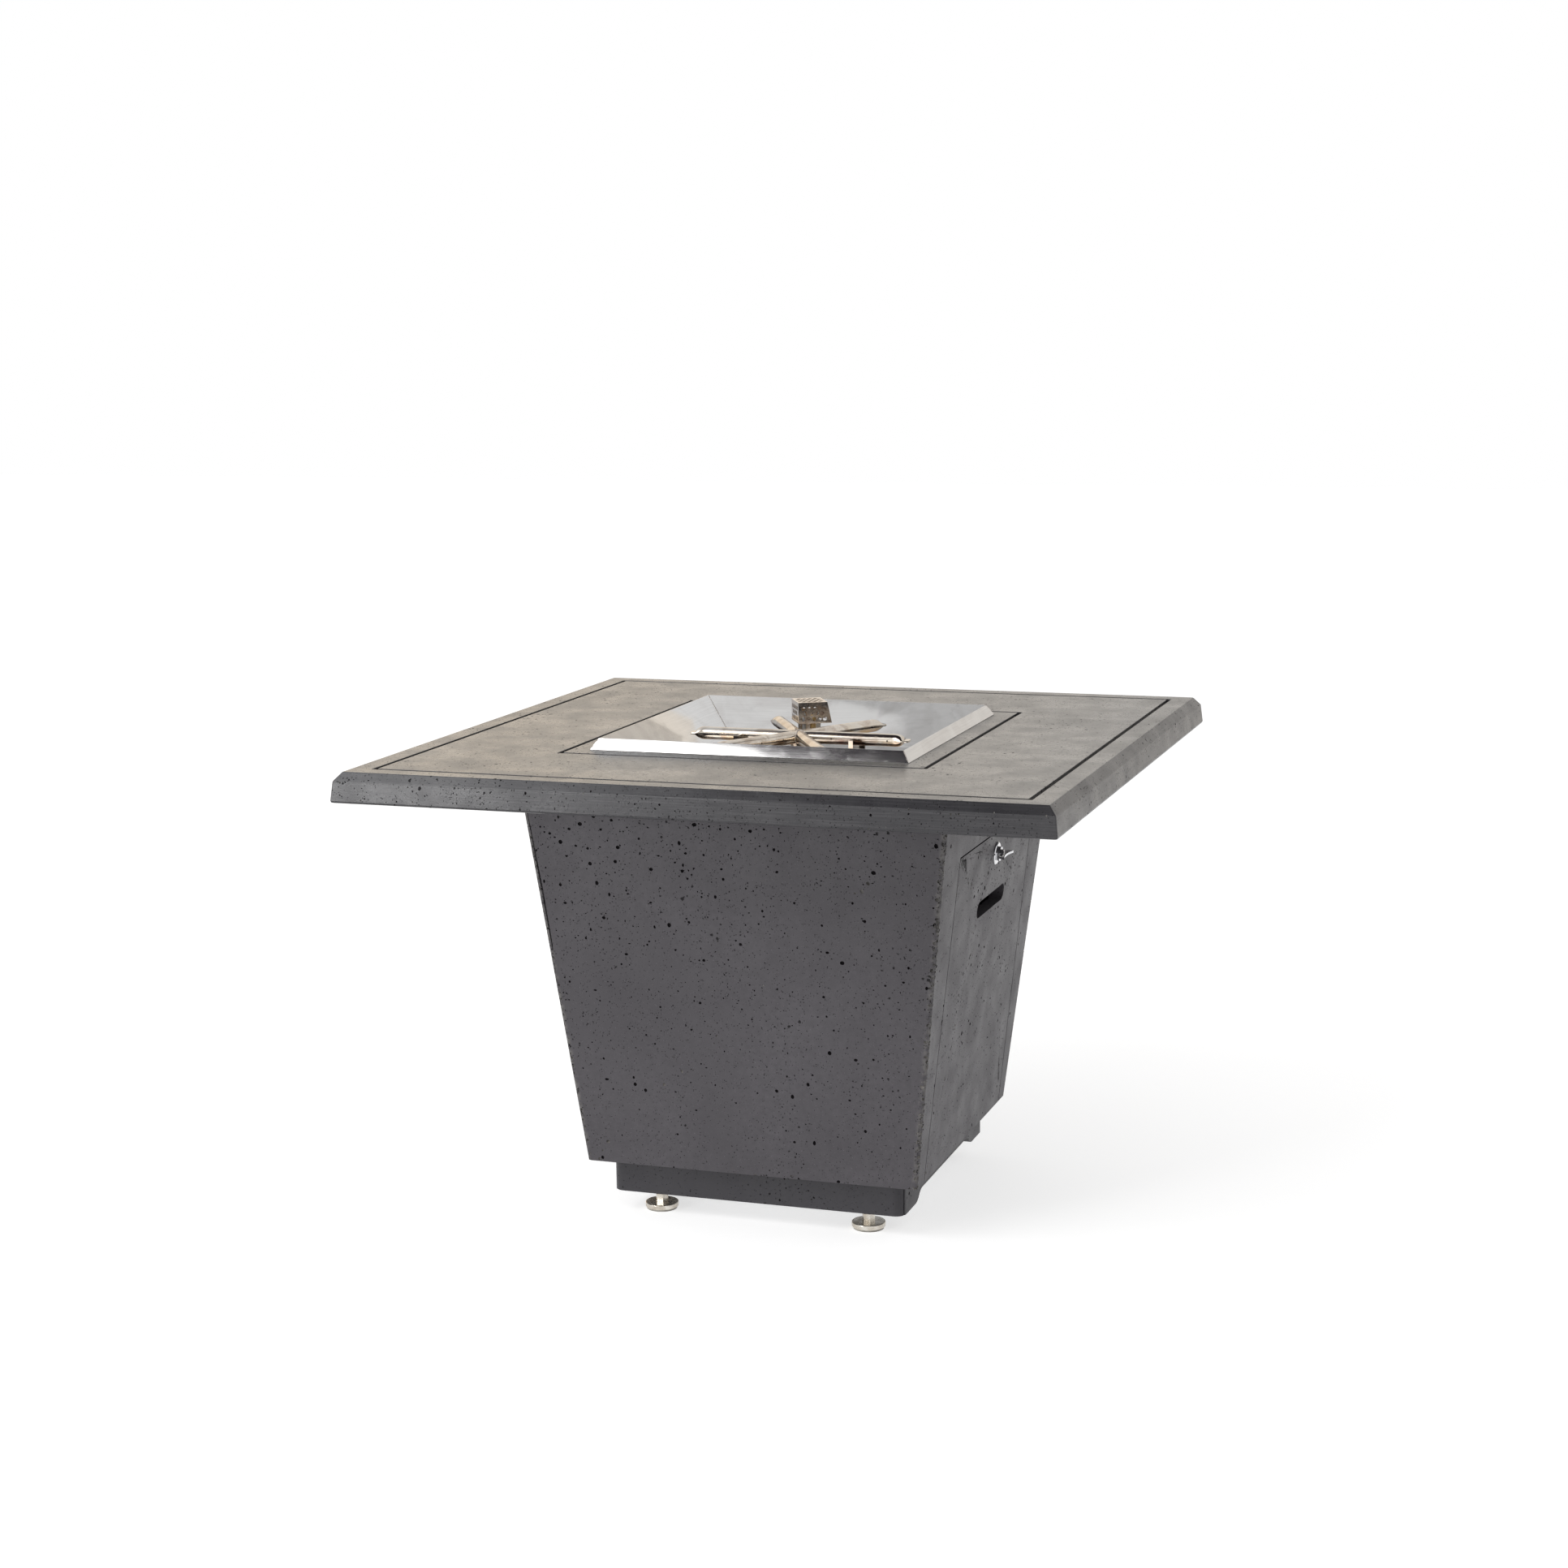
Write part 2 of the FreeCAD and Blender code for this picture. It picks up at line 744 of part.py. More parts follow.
def make_strike_screws():
    face = -latch_door_depth() - strike_thickness
    screws = []
    for y, z in strike_screw_places():
        screws.append(on_door_face(small_screw(Vector(face, y, z), X_AXIS)))
    return Part.makeCompound(screws)


# Floor panel, door hinges and levelling feet

def make_floor_panel():
    half = plinth_inner - floor_edge_gap
    front = foot_block_x + floor_edge_gap
    top_z = foot_block_top_z + floor_thickness
    panel = box(-half, front, -half, half, foot_block_top_z, top_z)
    low = Vector(0, 0, foot_block_top_z - cutter_over)
    return panel.cut(rod(floor_vent_radius, floor_thickness + 2 * cutter_over, low, Z_AXIS))


def hinge_knuckle(y0, y1, towards_x):
    """One knuckle with the bridge that joins it to its leaf."""
    radius = hinge_knuckle_radius
    barrel = rod(radius, y1 - y0, Vector(hinge_x, y0, hinge_z), Y_AXIS)
    low, high = sorted((hinge_x, towards_x))
    half_bridge = radius - hinge_bridge_inset
    bridge = box(low, high, y0, y1, hinge_z - half_bridge, hinge_z + half_bridge)
    return joined([barrel, bridge])


def hinge_spans():
    """Middle of each hinge along the door's lower edge."""
    return (-hinge_y, hinge_y)


def hinge_leaf(x0, x1, y, low_z):
    half = hinge_leaf_width / 2
    return box(x0, x1, y - half, y + half, low_z, low_z + hinge_leaf_height)


def make_base_hinge_leaves():
    leaves = []
    half, split = hinge_leaf_width / 2, hinge_knuckle_split / 2
    face = foot_block_x
    for y in hinge_spans():
        low_z = foot_block_top_z - hinge_leaf_height
        leaf = hinge_leaf(face, face + hinge_leaf_thickness, y, low_z)
        first = hinge_knuckle(y - half, y - split - fit_gap, face)
        second = hinge_knuckle(y + split + fit_gap, y + half, face)
        bore_start = Vector(hinge_x, y - half - cutter_over, hinge_z)
        bore = rod(hinge_pin_radius, hinge_leaf_width + 2 * cutter_over, bore_start, Y_AXIS)
        leaves.append(joined([leaf, first, second]).cut(bore))
    return Part.makeCompound(leaves)


def make_door_hinge_leaves():
    leaves = []
    split = hinge_knuckle_split / 2
    face = plinth_inner
    for y in hinge_spans():
        leaf = hinge_leaf(face - hinge_leaf_thickness, face, y, door_leaf_low_z)
        stem_low = hinge_z - hinge_knuckle_radius + hinge_bridge_inset
        stem_high = door_leaf_low_z + door_leaf_gap
        stem = box(face - hinge_leaf_thickness, face, y - split, y + split, stem_low, stem_high)
        knuckle = hinge_knuckle(y - split, y + split, face - hinge_leaf_thickness / 2)
        bore_radius = hinge_pin_radius + running_gap
        bore = rod(bore_radius, hinge_leaf_width, Vector(hinge_x, y - hinge_leaf_width / 2, hinge_z), Y_AXIS)
        leaves.append(joined([leaf, stem, knuckle]).cut(bore))
    return Part.makeCompound(leaves)


def make_hinge_pins():
    half = hinge_leaf_width / 2
    pins = []
    for y in hinge_spans():
        pins.append(rod(hinge_pin_radius, hinge_leaf_width, Vector(hinge_x, y - half, hinge_z), Y_AXIS))
    return Part.makeCompound(pins)


def hinge_screw(x, y, z, direction):
    """Countersunk screw that ends flush with its leaf."""
    return rod(hinge_screw_radius, small_screw_length, Vector(x, y, z), direction)


def make_door_hinge_screws():
    screws = []
    z = door_leaf_low_z + door_leaf_screw_rise
    for y in hinge_spans():
        for side in (-1, 1):
            place = y + side * hinge_screw_half_spacing
            screws.append(hinge_screw(plinth_inner - hinge_leaf_thickness, place, z, X_AXIS))
    return Part.makeCompound(screws)


def make_base_hinge_screws():
    screws = []
    z = foot_block_top_z - base_leaf_screw_drop
    for y in hinge_spans():
        for side in (-1, 1):
            place = y + side * hinge_screw_half_spacing
            screws.append(hinge_screw(foot_block_x + hinge_leaf_thickness, place, z, X_AXIS * -1))
    return Part.makeCompound(screws)


def make_foot_inserts():
    inserts = []
    for x, y in each_corner(foot_x, foot_y):
        low = Vector(x, y, plinth_bottom_z)
        shell = rod(foot_insert_radius, foot_insert_length, low, Z_AXIS)
        inserts.append(shell.cut(rod(foot_stud_radius + running_gap, foot_insert_length, low, Z_AXIS)))
    return Part.makeCompound(inserts)


def make_foot(x, y):
    """Turned disc, hexagon and threaded stud in one piece."""
    disc_top = foot_pad_height + foot_disc_height
    disc = rod(foot_disc_radius, foot_disc_height, Vector(x, y, foot_pad_height), Z_AXIS)
    disc = disc.makeFillet(foot_disc_round, [edge for edge in disc.Edges if edge.Closed])
    hexed = hexagon(foot_hex_flats, foot_hex_height, Vector(x, y, disc_top), Z_AXIS)
    stud_length = foot_block_top_z - foot_stud_top_gap - disc_top
    return joined([disc, hexed, rod(foot_stud_radius, stud_length, Vector(x, y, disc_top), Z_AXIS)])


def make_foot_pad(x, y):
    return rod(foot_pad_radius, foot_pad_height, Vector(x, y, 0), Z_AXIS)


# Burner pan, a bent and welded square tray

def bowl_half(z):
    """Half-width inside the pan at a level."""
    rise = (z - pan_floor_z) / pan_depth
    return pan_floor_half + (pan_ridge_half - pan_floor_half) * rise


def make_burner_pan():
    ridge_z = top_height + pan_ridge_rise
    wall_shift = pan_sheet * math.sqrt(2)
    flange_shift = pan_sheet * math.hypot(pan_ridge_rise, pan_flange_half - pan_ridge_half) / pan_ridge_rise
    flange = frustum(pan_flange_half, top_height, pan_ridge_half, ridge_z)
    under_top_z = ridge_z - pan_sheet
    narrowing = (pan_flange_half - pan_ridge_half) * (1 - pan_sheet / pan_ridge_rise)
    under_high = pan_flange_half - flange_shift - narrowing
    under = frustum(pan_flange_half - flange_shift, top_height, under_high, under_top_z)
    low_z = pan_floor_z - pan_sheet
    bowl = frustum(bowl_half(low_z) + wall_shift, low_z, bowl_half(under_top_z) + wall_shift, under_top_z)
    lid_z = ridge_z + cutter_over
    inside = frustum(pan_floor_half, pan_floor_z, bowl_half(lid_z), lid_z)
    pan = joined([flange.cut(under), bowl]).cut(inside)
    low = low_z - cutter_over
    depth = pan_sheet + 2 * cutter_over
    holes = [rod(nipple_radius + fit_gap, depth, Vector(0, 0, low), Z_AXIS)]
    holes.append(rod(pan_lead_hole_radius, depth, Vector(hood_centre_x, hood_centre_y, low), Z_AXIS))
    reach = pan_floor_half - pan_drain_inset
    for x, y in each_corner(reach, reach):
        holes.append(rod(pan_drain_radius, depth, Vector(x, y, low), Z_AXIS))
    return pan.cut(holes)


# Star burner

def flattened_section(share):
    """Section of the pressed tube end, from round at 0 to the flat tab at 1."""
    centre = Vector(arm_straight + arm_pinch * share, 0, arm_axis_z)
    if share == 0:
        return Part.Wire(Part.makeCircle(arm_radius, centre, X_AXIS))
    half_width = arm_radius + (arm_tab_half_width - arm_radius) * share
    half_height = max(arm_radius * math.sqrt(1 - share ** 2), arm_tab_thickness / 2)
    wide = centre + Vector(0, half_width, 0)
    high = centre + Vector(0, 0, half_height)
    return Part.Wire(Part.Ellipse(wide, high, centre).toShape())


def port_places():
    """Distance along the arm and side of each gas port."""
    places = []
    for k in range(ports_each_side):
        places.append((port_first_left + k * port_pitch, 1))
        places.append((port_first_right + k * port_pitch, -1))
    return places


def burner_arm_along_x():
    axis = Vector(0, 0, arm_axis_z)
    tube_end = rod(arm_radius, arm_straight, axis, X_AXIS)
    reach = 2 * arm_straight
    spread = reach * math.tan(math.pi / arm_count)
    low = arm_axis_z - 2 * arm_radius
    corners = [Vector(0, 0, low), Vector(reach, -spread, low), Vector(reach, spread, low)]
    tube_end = tube_end.common(prism(corners, Vector(0, 0, 4 * arm_radius)))
    tube_end = tube_end.cut(rod(arm_radius - arm_wall, arm_straight - arm_bore_end, axis, X_AXIS))
    pinch = Part.makeLoft([flattened_section(share) for share in (0, 0.4, 0.75, 1)], True, False)
    tab_start = arm_straight + arm_pinch - arm_tab_lap
    tab_end = arm_straight + arm_pinch + arm_tab_length
    half_tab = arm_tab_thickness / 2
    width = arm_tab_half_width - arm_tab_inset
    tab = box(tab_start, tab_end, -width, width, arm_axis_z - half_tab, arm_axis_z + half_tab)
    tab = rounded(tab, arm_tab_round, lambda middle, along: upright(middle, along) and middle.x > tab_end - 1)
    arm = joined([tube_end, pinch, tab])
    for distance, side in port_places():
        start = Vector(distance, side * (arm_radius - 2 * arm_wall), arm_axis_z)
        arm = arm.cut(rod(port_radius, 3 * arm_wall, start, Y_AXIS * side))
    return arm


def turned_arm(arm, angle):
    turned = arm.copy()
    turned.rotate(ORIGIN, Z_AXIS, angle)
    return turned


def make_burner_hub():
    hub = rod(hub_radius, hub_height, Vector(0, 0, hub_low_z), Z_AXIS)
    for k in range(arm_count):
        angle = 2 * math.pi * k / arm_count
        way = Vector(math.cos(angle), math.sin(angle), 0)
        hub = hub.cut(rod(arm_radius, 3 * hub_radius, Vector(0, 0, arm_axis_z), way))
    return hub.cut(rod(nipple_bore_radius, 2 * hub_height, Vector(0, 0, hub_low_z - cutter_over), Z_AXIS))


def make_inlet_nipple():
    length = hub_low_z - nipple_bottom_z
    start = Vector(0, 0, nipple_bottom_z)
    return rod(nipple_radius, length, start, Z_AXIS).cut(rod(nipple_bore_radius, length, start, Z_AXIS))


def make_pan_nuts():
    nuts = []
    for z in (pan_floor_z, pan_floor_z - pan_sheet - pan_nut_height):
        nut = hexagon(pan_nut_flats, pan_nut_height, Vector(0, 0, z), Z_AXIS)
        nuts.append(nut.cut(rod(nipple_radius, pan_nut_height, Vector(0, 0, z), Z_AXIS)))
    return Part.makeCompound(nuts)


def make_burner_leg(angle):
    """Folded plate with a notch that carries one arm above the pan floor."""
    top_z = arm_axis_z + leg_rise
    x0, x1 = leg_distance, leg_distance + leg_sheet
    half = leg_half_width
    plate = box(x0, x1, -half, half, pan_floor_z, top_z)
    foot = box(x0 - leg_foot, x0, -half, half, pan_floor_z, pan_floor_z + leg_sheet)
    left = box(x0, x0 + leg_flange, -half, -half + leg_sheet, pan_floor_z, top_z)
    right = box(x0, x0 + leg_flange, half - leg_sheet, half, pan_floor_z, top_z)
    notch = rod(arm_radius, 3 * leg_sheet, Vector(x0 - leg_sheet, 0, arm_axis_z), X_AXIS)
    mouth = box(x0 - cutter_over, x1 + cutter_over, -arm_radius, arm_radius, arm_axis_z, top_z + cutter_over)
    leg = joined([plate, foot, left, right]).cut(joined([notch, mouth]))
    leg.rotate(ORIGIN, Z_AXIS, angle)
    return leg


def make_air_mixer():
    mixer = rod(mixer_radius, mixer_length, Vector(0, 0, mixer_bottom_z), Z_AXIS)
    mixer = mixer.cut(rod(nipple_radius, mixer_socket, Vector(0, 0, nipple_bottom_z), Z_AXIS))
    throat_low = mixer_bottom_z + jet_spud_height
    throat_length = nipple_bottom_z - throat_low
    mixer = mixer.cut(rod(nipple_bore_radius, throat_length, Vector(0, 0, throat_low), Z_AXIS))
    mixer = mixer.cut(rod(jet_spud_radius, jet_spud_height, Vector(0, 0, mixer_bottom_z), Z_AXIS))
    half = mixer_window_width / 2
    low = throat_low + mixer_window_rise
    reach = 2 * mixer_radius
    window = box(-half, half, -reach, reach, low, low + mixer_window_height)
    return mixer.cut(window)


def jet_way():
    """Level direction from the gas jet towards the valve's outlet."""
    return Vector(valve_mid_x, valve_y, 0).normalize()


def make_gas_jet():
    low_z = mixer_bottom_z - jet_height
    body = rod(jet_radius, jet_height, Vector(0, 0, low_z), Z_AXIS)
    spud = rod(jet_spud_radius, jet_spud_height, Vector(0, 0, mixer_bottom_z), Z_AXIS)
    inlet = rod(jet_inlet_radius, jet_inlet_length, Vector(0, 0, gas_tube_level), jet_way())
    jet = joined([body, spud, inlet])
    start = Vector(0, 0, gas_tube_level) + jet_way() * (jet_inlet_length / 2)
    jet = jet.cut(rod(gas_tube_radius, jet_inlet_length, start, jet_way()))
    return jet.cut(rod(port_radius, 2 * jet_height, Vector(0, 0, gas_tube_level), Z_AXIS))


# Pilot group under its perforated hood, drawn square and then turned into place

def at_hood(shape):
    laid = shape.copy()
    laid.rotate(ORIGIN, Z_AXIS, hood_turn)
    laid.translate(Vector(hood_centre_x, hood_centre_y, 0))
    return laid


def hood_point(u, v, z):
    angle = math.radians(hood_turn)
    x = hood_centre_x + u * math.cos(angle) - v * math.sin(angle)
    y = hood_centre_y + u * math.sin(angle) + v * math.cos(angle)
    return Vector(x, y, z)


def hood_block(inset, low_z, high_z):
    half = hood_half - inset
    slope = hood_slope / hood_height
    points = []
    for u, z in ((-half, low_z), (half - slope * (low_z - hood_bottom_z), low_z)):
        points.append(Vector(u, -half, z))
    for u, z in ((half - slope * (high_z - hood_bottom_z), high_z), (-half, high_z)):
        points.append(Vector(u, -half, z))
    return prism(points, Vector(0, 2 * half, 0))


def hole_row(count):
    first = -(count - 1) / 2 * hood_hole_pitch
    return [first + k * hood_hole_pitch for k in range(count)]


def make_pilot_hood():
    top_z = hood_bottom_z + hood_height
    hood = hood_block(0, hood_bottom_z, top_z)
    hood = hood.cut(hood_block(hood_sheet, hood_bottom_z - cutter_over, top_z - hood_sheet))
    through = 2 * hood_half + 2 * cutter_over
    shift = -hood_slope / 4
    holes = []
    for row, count in enumerate((5, 4, 5)):
        z = hood_bottom_z + hood_first_row + row * hood_row_pitch
        for place in hole_row(count):
            holes.append(rod(hood_hole_radius, through, Vector(place + shift, -through / 2, z), Y_AXIS))
            holes.append(rod(hood_hole_radius, through, Vector(-through / 2, place, z), X_AXIS))
    for row, count in enumerate((4, 5, 4, 5, 4)):
        v = (row - 2) * hood_row_pitch
        for place in hole_row(count):
            centre = Vector(place + shift * 2, v, top_z - 2 * hood_sheet)
            holes.append(rod(hood_hole_radius, 4 * hood_sheet, centre, Z_AXIS))
    return at_hood(hood.cut(holes))


def pilot_places():
    """Places of the pilot burner, the electrode and the thermocouple in the hood's own frame."""
    return (0, -pilot_front), (pilot_side, pilot_back), (-pilot_side, pilot_back)


def make_pilot_bracket():
    half = pilot_bracket_half
    back = hood_half
    sheet = pilot_bracket_sheet
    upright_plate = box(-half, half, back, back + sheet, pan_floor_z, hood_bottom_z + hood_height / 2)
    foot = box(-half, half, back, back + pilot_bracket_foot, pan_floor_z, pan_floor_z + sheet)
    shelf = box(-half, half, -pilot_shelf_reach, back + sheet, shelf_z, shelf_z + sheet)
    bracket = joined([upright_plate, foot, shelf])
    radii = (pilot_radius, insulator_radius, thermocouple_radius)
    for (u, v), radius in zip(pilot_places(), radii):
        bracket = bracket.cut(rod(radius, 4 * sheet, Vector(u, v, shelf_z - sheet), Z_AXIS))
    return at_hood(bracket)


def shelf_foot():
    """Level of the lower ends of the pieces that stand in the pilot shelf."""
    return shelf_z - pilot_below_shelf


def make_pilot_burner():
    u, v = pilot_places()[0]
    barrel = rod(pilot_radius, pilot_height, Vector(u, v, shelf_foot()), Z_AXIS)
    top_z = shelf_foot() + pilot_height
    cap = Part.makeCone(pilot_radius, pilot_radius / 2, pilot_cap_height, Vector(u, v, top_z), Z_AXIS)
    half = pilot_slot_width / 2
    reach = 2 * pilot_radius
    slot_top = top_z - pilot_slot_height
    slot = box(u - half, u + half, v - reach, v + reach, slot_top - pilot_slot_height, slot_top)
    socket = rod(pilot_tube_radius, pilot_below_shelf, Vector(u, v, shelf_foot()), Z_AXIS)
    return at_hood(joined([barrel, cap]).cut(slot).cut(socket))


def make_electrode_insulator():
    u, v = pilot_places()[1]
    body = rod(insulator_radius, insulator_height, Vector(u, v, shelf_foot()), Z_AXIS)
    bore = rod(electrode_radius, insulator_height, Vector(u, v, shelf_foot()), Z_AXIS)
    socket = rod(igniter_wire_radius, pilot_below_shelf / 2, Vector(u, v, shelf_foot()), Z_AXIS)
    return at_hood(body.cut(bore).cut(socket))


def make_igniter_electrode():
    u, v = pilot_places()[1]
    low_z = shelf_foot() + pilot_below_shelf / 2
    length = insulator_height - pilot_below_shelf / 2 + electrode_height
    return at_hood(rod(electrode_radius, length, Vector(u, v, low_z), Z_AXIS))


def make_thermocouple():
    u, v = pilot_places()[2]
    body = rod(thermocouple_radius, thermocouple_height, Vector(u, v, shelf_foot()), Z_AXIS)
    tip = Part.makeSphere(thermocouple_radius, Vector(u, v, shelf_foot() + thermocouple_height))
    socket = rod(thermocouple_lead_radius, pilot_below_shelf / 2, Vector(u, v, shelf_foot()), Z_AXIS)
    return at_hood(joined([body, tip]).cut(socket))


# Control panel, valve, knob and igniter

def inner_wall_y(z):
    """Inner face of the front wall at a level."""
    return -(outer_half(z) - base_wall)


def panel_screw_places():
    inset = small_screw_head_radius * 2
    x = panel_x - panel_flange / 2
    return [(x, panel_bottom_z + inset), (x, panel_bottom_z + panel_height - inset)]


def make_control_panel():
    low_z, high_z = panel_bottom_z, panel_bottom_z + panel_height
    x0, x1 = panel_x - panel_sheet, panel_x
    points = [Vector(x0, panel_inner_y, low_z), Vector(x0, panel_inner_y, high_z)]
    points += [Vector(x0, inner_wall_y(high_z), high_z), Vector(x0, inner_wall_y(low_z), low_z)]
    plate = prism(points, Vector(panel_sheet, 0, 0))
    flange_points = []
    for step, z in ((0, low_z), (panel_sheet, low_z), (panel_sheet, high_z), (0, high_z)):
        flange_points.append(Vector(x1 - panel_flange, inner_wall_y(z) + step, z))
    flange = prism(flange_points, Vector(panel_flange, 0, 0))
    panel = joined([plate, flange])
    collar_start = Vector(x0, valve_y, valve_z)
    collar_hole = rod(valve_collar_radius, panel_sheet, collar_start, X_AXIS)
    button_hole = igniter_rod(igniter_button_radius + fit_gap, x0, x1)
    return panel.cut(collar_hole).cut(button_hole)


def make_panel_screws():
    screws = []
    way = Vector(0, -math.cos(math.radians(base_lean)), -math.sin(math.radians(base_lean)))
    for x, z in panel_screw_places():
        seat = Vector(x, inner_wall_y(z) + panel_sheet, z)
        screws.append(small_screw(seat, way))
    return Part.makeCompound(screws)


def valve_outlets():
    """Places on top of the valve of the gas tube, the pilot tube and the thermocouple lead."""
    front = valve_mid_x + lead_spread
    back = valve_mid_x - lead_spread
    gas = Vector(valve_mid_x, valve_y, valve_top_z)
    pilot = Vector(back, valve_y - lead_spread, valve_top_z)
    thermocouple = Vector(front, valve_y - lead_spread / 2, valve_top_z)
    return gas, pilot, thermocouple


def socket_foot(place):
    """Lower end of the short socket that holds a tube or lead below a place."""
    return place - Z_AXIS * tube_socket_depth


def inlet_start_z():
    return valve_z - valve_half_height - inlet_hex_height


def make_control_valve():
    x0, x1 = valve_back_x, panel_x - panel_sheet
    y0, y1 = valve_y - valve_half_width, valve_y + valve_half_width
    body = box(x0, x1, y0, y1, valve_z - valve_half_height, valve_top_z)
    body = rounded(body, valve_corner_round, upright)
    collar_start = Vector(x1, valve_y, valve_z)
    collar = rod(valve_collar_radius, panel_sheet + valve_collar_length, collar_start, X_AXIS)
    valve = joined([body, collar])
    bore_start = Vector(x1 - valve_depth / 2, valve_y, valve_z)
    bore = rod(valve_stem_radius + running_gap, valve_depth, bore_start, X_AXIS)
    valve = valve.cut(bore)
    sockets = zip(valve_outlets(), (gas_tube_radius, pilot_tube_radius, thermocouple_lead_radius))
    for place, radius in sockets:
        valve = valve.cut(rod(radius, tube_socket_depth, socket_foot(place), Z_AXIS))
    return valve


def make_gas_inlet():
    """Threaded male inlet under the valve that the hose screws onto."""
    start = Vector(valve_mid_x, valve_y, inlet_start_z())
    hexed = hexagon(inlet_hex_flats, inlet_hex_height, start, Z_AXIS)
    thread = rod(inlet_radius, inlet_thread, start - Z_AXIS * inlet_thread, Z_AXIS)
    bore_start = start - Z_AXIS * inlet_thread
    bore = rod(gas_tube_bore_radius, inlet_thread + inlet_hex_height, bore_start, Z_AXIS)
    return joined([hexed, thread]).cut(bore)


def make_valve_stem():
    start_x = panel_x - panel_sheet - valve_depth / 2 + fit_gap
    length = valve_depth / 2 + panel_sheet + valve_stem_reach - fit_gap
    return rod(valve_stem_radius, length, Vector(start_x, valve_y, valve_z), X_AXIS)


def knob_back_x():
    return panel_x + valve_collar_length + knob_travel + 2 * fit_gap


def make_control_knob():
    back = knob_back_x()
    front = back + knob_length
    knob = rod(knob_radius, knob_length, Vector(back, valve_y, valve_z), X_AXIS)
    knob = knob.makeFillet(knob_edge_round, far_rims(knob, back))
    reach = knob_radius + knob_grip_out
    for k in range(knob_grip_count):
        angle = 2 * math.pi * (k + 0.5) / knob_grip_count
        y, z = valve_y + reach * math.cos(angle), valve_z + reach * math.sin(angle)
        start = Vector(back - cutter_over, y, z)
        knob = knob.cut(rod(knob_grip_radius, knob_length + 2 * cutter_over, start, X_AXIS))
    half = pointer_width / 2
    low_z, high_z = valve_z + pointer_inner, valve_z + knob_radius - pointer_margin
    pointer = box(front - pointer_rise, front + pointer_rise, valve_y - half, valve_y + half, low_z, high_z)
    bore_length = panel_x + valve_stem_reach - back + knob_travel + 2 * fit_gap
    bore_start = Vector(back, valve_y, valve_z)
    bore = rod(valve_stem_radius + running_gap, bore_length, bore_start, X_AXIS)
    return joined([knob, pointer]).cut(bore)


def igniter_rod(radius, x0, x1):
    """Round solid on the igniter's axis between two places along X."""
    return rod(radius, x1 - x0, Vector(x0, igniter_y, igniter_z), X_AXIS)


def igniter_terminal():
    """Top of the terminal on the igniter box, where its lead starts."""
    x = panel_x - panel_sheet - igniter_box_length + igniter_terminal_inset
    return Vector(x, igniter_y, igniter_z + igniter_box_radius + igniter_terminal_rise)


def make_igniter_box():
    front = panel_x - panel_sheet
    body = igniter_rod(igniter_box_radius, front - igniter_box_length, front)
    depth = igniter_button_in + igniter_travel + igniter_box_play - panel_sheet
    bore = igniter_rod(igniter_button_radius + fit_gap, front - depth, front)
    terminal_height = 2 * igniter_terminal_rise
    foot = igniter_terminal() - Z_AXIS * terminal_height
    terminal = rod(igniter_terminal_radius, terminal_height, foot, Z_AXIS)
    socket = rod(igniter_wire_radius, tube_socket_depth, socket_foot(igniter_terminal()), Z_AXIS)
    return joined([body.cut(bore), terminal]).cut(socket)


def make_igniter_bezel():
    front = panel_x + igniter_bezel_length
    ring = igniter_rod(igniter_bezel_radius, panel_x, front)
    ring = ring.makeChamfer(igniter_bezel_chamfer, far_rims(ring, panel_x))
    return ring.cut(igniter_rod(igniter_button_radius + fit_gap, panel_x, front))


def make_igniter_button():
    button = igniter_rod(igniter_button_radius, panel_x - igniter_button_in, panel_x + igniter_button_out)
    return button.makeFillet(igniter_button_round, far_rims(button, panel_x))


# Gas tubes and leads: straight runs joined by tangent arcs

def routed_wire(points, bend_radius):
    """Path along the points with each inner corner rounded by an arc."""
    edges = []
    start = points[0]
    for k in range(1, len(points) - 1):
        back_way = (points[k - 1] - points[k]).normalize()
        ahead_way = (points[k + 1] - points[k]).normalize()
        half_turn = (math.pi - back_way.getAngle(ahead_way)) / 2
        leave = bend_radius * math.tan(half_turn)
        arc_start = points[k] + back_way * leave
        arc_end = points[k] + ahead_way * leave
        centre_way = (back_way + ahead_way).normalize()
        drop = bend_radius / math.cos(half_turn) - bend_radius
        edges.append(Part.LineSegment(start, arc_start).toShape())
        edges.append(Part.Arc(arc_start, points[k] + centre_way * drop, arc_end).toShape())
        start = arc_end
    edges.append(Part.LineSegment(start, points[-1]).toShape())
    return Part.Wire(edges)


def tube(name, points, radius, bore_radius):
    path = routed_wire(points, lead_bend)
    way = (points[1] - points[0]).normalize()
    circle = Part.Wire(Part.makeCircle(radius, points[0], way))
    solid = path.makePipeShell([circle], True, False)
    area = math.pi * radius ** 2
    if bore_radius > 0:
        hole = Part.Wire(Part.makeCircle(bore_radius, points[0], way))
        solid = solid.cut(path.makePipeShell([hole], True, False))
        area -= math.pi * bore_radius ** 2
    volume_share = solid.Volume / (area * path.Length)
    print(name, "length", round(path.Length, 1), "volume share", round(volume_share, 4))
    return solid


def rising_route(start, level, end):
    """Up from a start, level across, and up again to an end."""
    return [start, Vector(start.x, start.y, level), Vector(end.x, end.y, level), end]


def make_gas_tube():
    start = socket_foot(valve_outlets()[0])
    corner = Vector(start.x, start.y, gas_tube_level)
    end = Vector(0, 0, gas_tube_level) + jet_way() * (jet_inlet_length / 2)
    return tube("gas_tube", [start, corner, end], gas_tube_radius, gas_tube_bore_radius)


def make_pilot_tube():
    u, v = pilot_places()[0]
    end = hood_point(u, v, shelf_foot() + pilot_below_shelf)
    route = rising_route(socket_foot(valve_outlets()[1]), pilot_tube_level, end)
    return tube("pilot_tube", route, pilot_tube_radius, 0)


